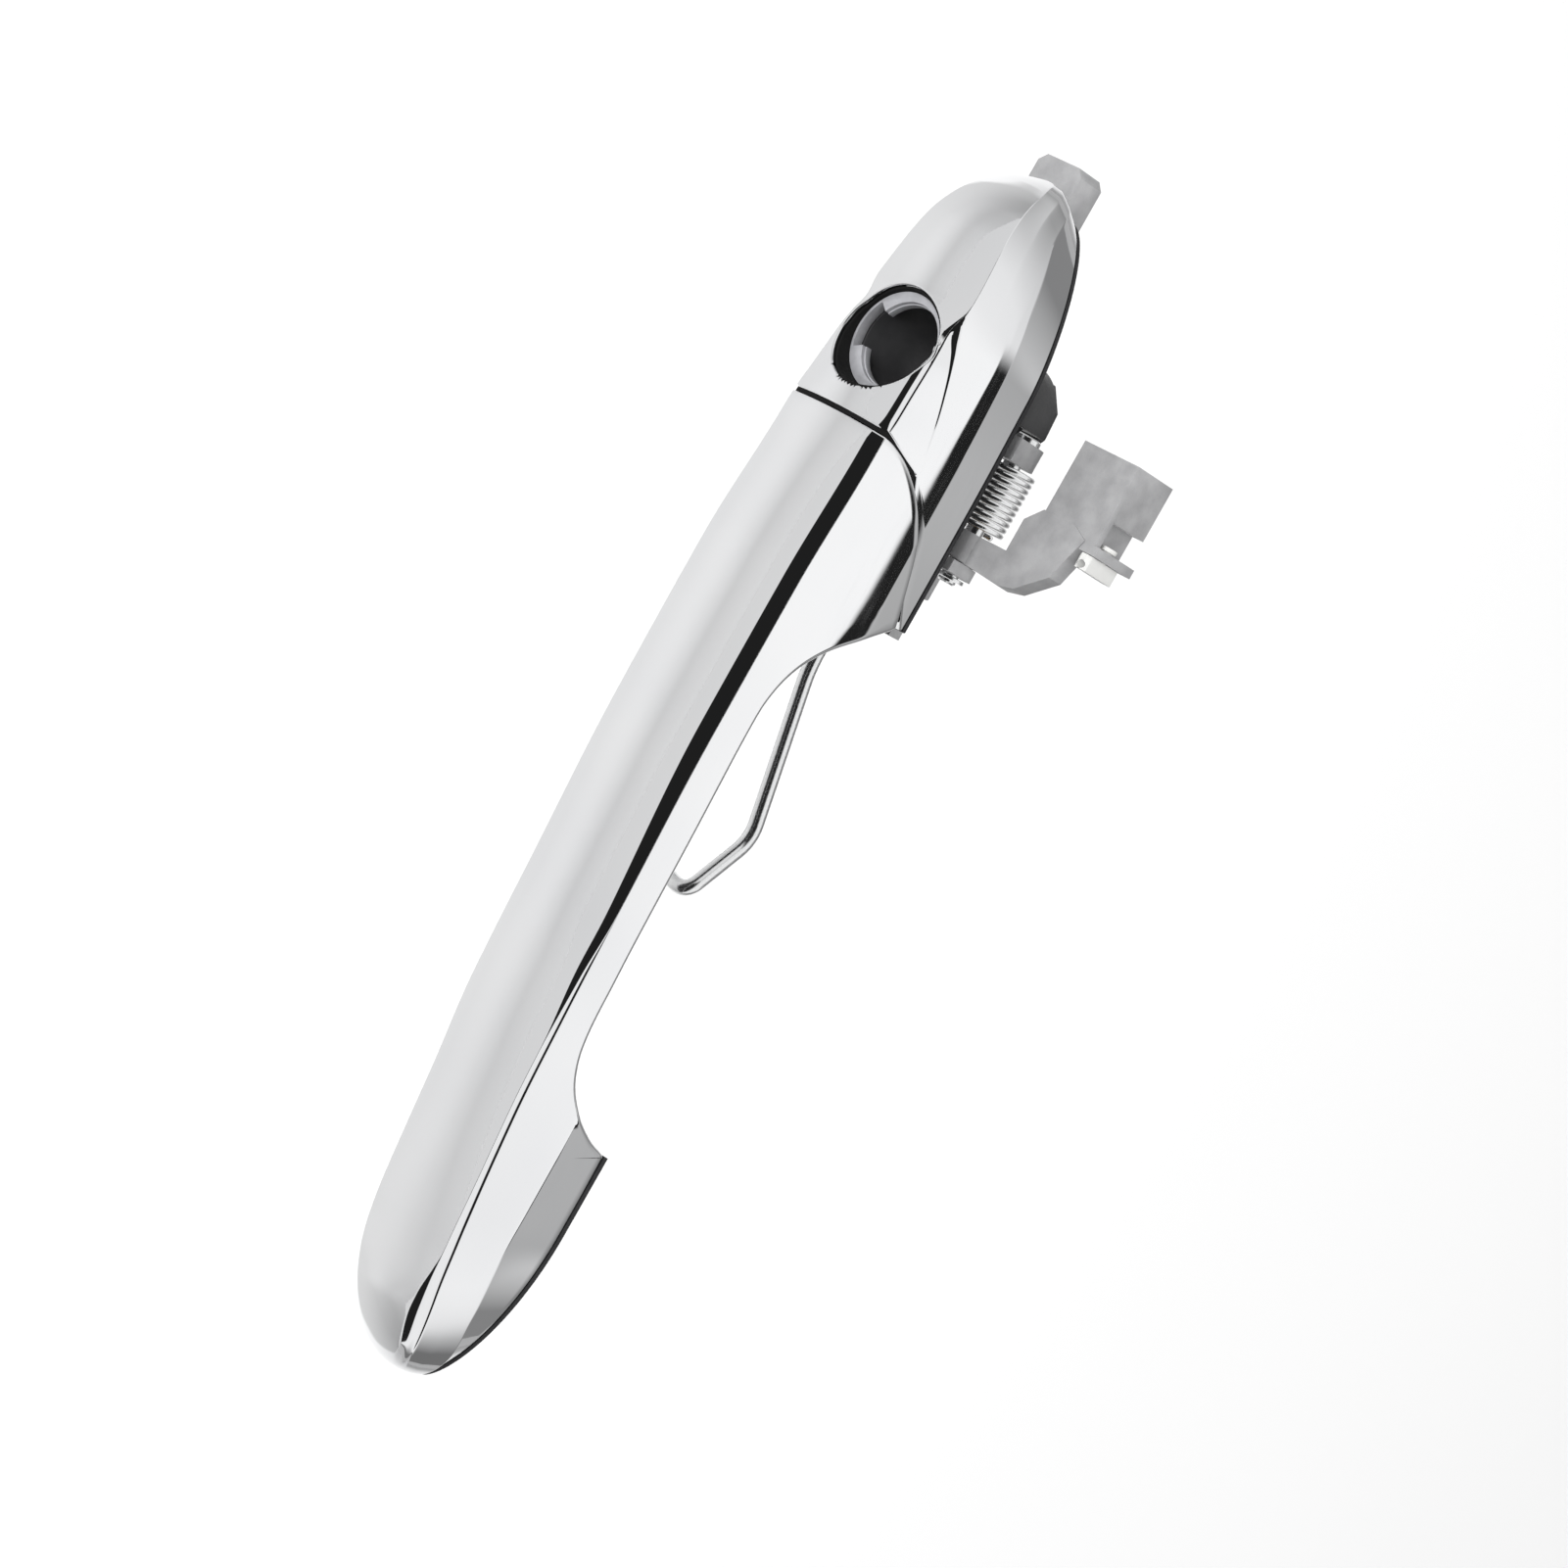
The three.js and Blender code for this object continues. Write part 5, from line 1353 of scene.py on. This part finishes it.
def add_world():
    """Studio surroundings by direction: a pale room with a dark card, a dark strip and greyer ends."""
    world = bpy.data.worlds.new("studio")
    scene.world = world
    world.use_nodes = True
    nodes, links = world.node_tree.nodes, world.node_tree.links
    background = nodes["Background"]

    def maths(kind, first, second=None, third=None):
        node = nodes.new("ShaderNodeMath")
        node.operation = kind
        for socket, value in zip(node.inputs, (first, second, third)):
            if isinstance(value, (int, float)):
                socket.default_value = value
            elif value is not None:
                links.new(value, socket)
        return node.outputs[0]

    where = nodes.new("ShaderNodeTexCoord")
    split = nodes.new("ShaderNodeSeparateXYZ")
    links.new(where.outputs["Generated"], split.inputs[0])
    x, y, z = split.outputs
    turn = maths("ARCTAN2", z, maths("MULTIPLY", y, -1))
    share = maths("ADD", maths("DIVIDE", turn, 2 * math.pi), 0.5)      # 0 to 1 over the full turn

    def at(degrees):
        return degrees / 360 + 0.5

    def between(value, low, high, first, second):
        """first up to low, second beyond high, along value."""
        blend = nodes.new("ShaderNodeMapRange")
        blend.interpolation_type = "SMOOTHSTEP"
        blend.inputs["From Min"].default_value = low
        blend.inputs["From Max"].default_value = high
        links.new(value, blend.inputs["Value"])
        mix = nodes.new("ShaderNodeMix")
        mix.data_type = "RGBA"
        links.new(blend.outputs["Result"], mix.inputs["Factor"])
        links.new(first, mix.inputs[6])
        links.new(second, mix.inputs[7])
        return mix.outputs[2]

    room = [[at(-180), 0.45], [at(-20), 0.74], [at(10), 0.76]]
    card = room + [[at(14), 0.016], [at(76), 0.014], [at(81), 0.9], [at(110), 0.95], [at(135.6), 1.05],
                   [at(136.2), 0.016], [at(141.4), 0.016], [at(142.6), 0.52], [at(150), 0.38],
                   [at(160), 0.16]]
    no_strip = room + [[at(14), 0.016], [at(76), 0.014], [at(81), 0.9], [at(120), 0.98], [at(138), 0.9],
                       [at(150), 0.6], [at(163), 0.25]]
    pale = room + [[at(60), 0.9], [at(100), 1.0], [at(150), 1.0], [at(163), 0.7], [at(178), 0.4]]
    dusk = room + [[at(14), 0.016], [at(76), 0.014], [at(81), 0.9], [at(120), 0.95], [at(134), 0.8],
                   [at(146), 0.45], [at(160), 0.18]]
    card, no_strip, pale, dusk = (ramp(nodes, links, share, stops) for stops in (card, no_strip, pale, dusk))
    sideways = maths("ABSOLUTE", x)
    middle = between(sideways, 0.12, 0.22, card, no_strip)
    ends = between(x, -0.1, 0.1, pale, dusk)
    links.new(between(sideways, 0.42, 0.62, middle, ends), background.inputs["Color"])
    background.inputs["Strength"].default_value = 1.0


def add_floor():
    """Pale paper well below the handle: a shade greyer in front than behind, where the picture sees it."""
    mesh = bpy.data.meshes.new("studio_floor")
    left, right, front, behind = FLOOR_SPAN
    mesh.from_pydata([(left, front, FLOOR_Z), (right, front, FLOOR_Z), (right, behind, FLOOR_Z),
                      (left, behind, FLOOR_Z)], [], [(0, 1, 2, 3)])
    floor = bpy.data.objects.new("studio_floor", mesh)
    scene.collection.objects.link(floor)
    material, nodes, links, shader, where = new_material("studio_paper", (0.9, 0.9, 0.9), 0, 0.9)
    split = nodes.new("ShaderNodeSeparateXYZ")
    links.new(where.outputs["Object"], split.inputs[0])
    across = nodes.new("ShaderNodeMapRange")
    across.inputs["From Min"].default_value = front
    across.inputs["From Max"].default_value = PAPER_END
    links.new(split.outputs[1], across.inputs["Value"])
    stops = [((y - front) / (PAPER_END - front), tone) for y, tone in PAPER]
    links.new(ramp(nodes, links, across.outputs["Result"], stops), shader.inputs["Base Color"])
    floor.data.materials.append(material)


def add_light(name, at, target, size, power):
    data = bpy.data.lights.new(name, "AREA")
    data.shape = "SQUARE"
    data.size = size
    data.energy = power
    light = bpy.data.objects.new(name, data)
    light.visible_glossy = False
    scene.collection.objects.link(light)
    aim = (Vector(target) - Vector(at)).to_track_quat("-Z", "Y")
    light.matrix_world = Matrix.Translation(Vector(at)) @ aim.to_matrix().to_4x4()


add_camera()
add_world()
add_floor()
add_light("floor_light", (0.06, 1.15, 1.6), (0.06, 1.15, FLOOR_Z), 1.2, 27)
add_light("top_light", (0, -1.9, 2), (0, -1.9, FLOOR_Z), 1.6, 30)
add_light("front_fill", (-0.1, -1.1, 0.35), (0.06, 0, 0), 0.5, 21)
scene.view_settings.view_transform = "Standard"
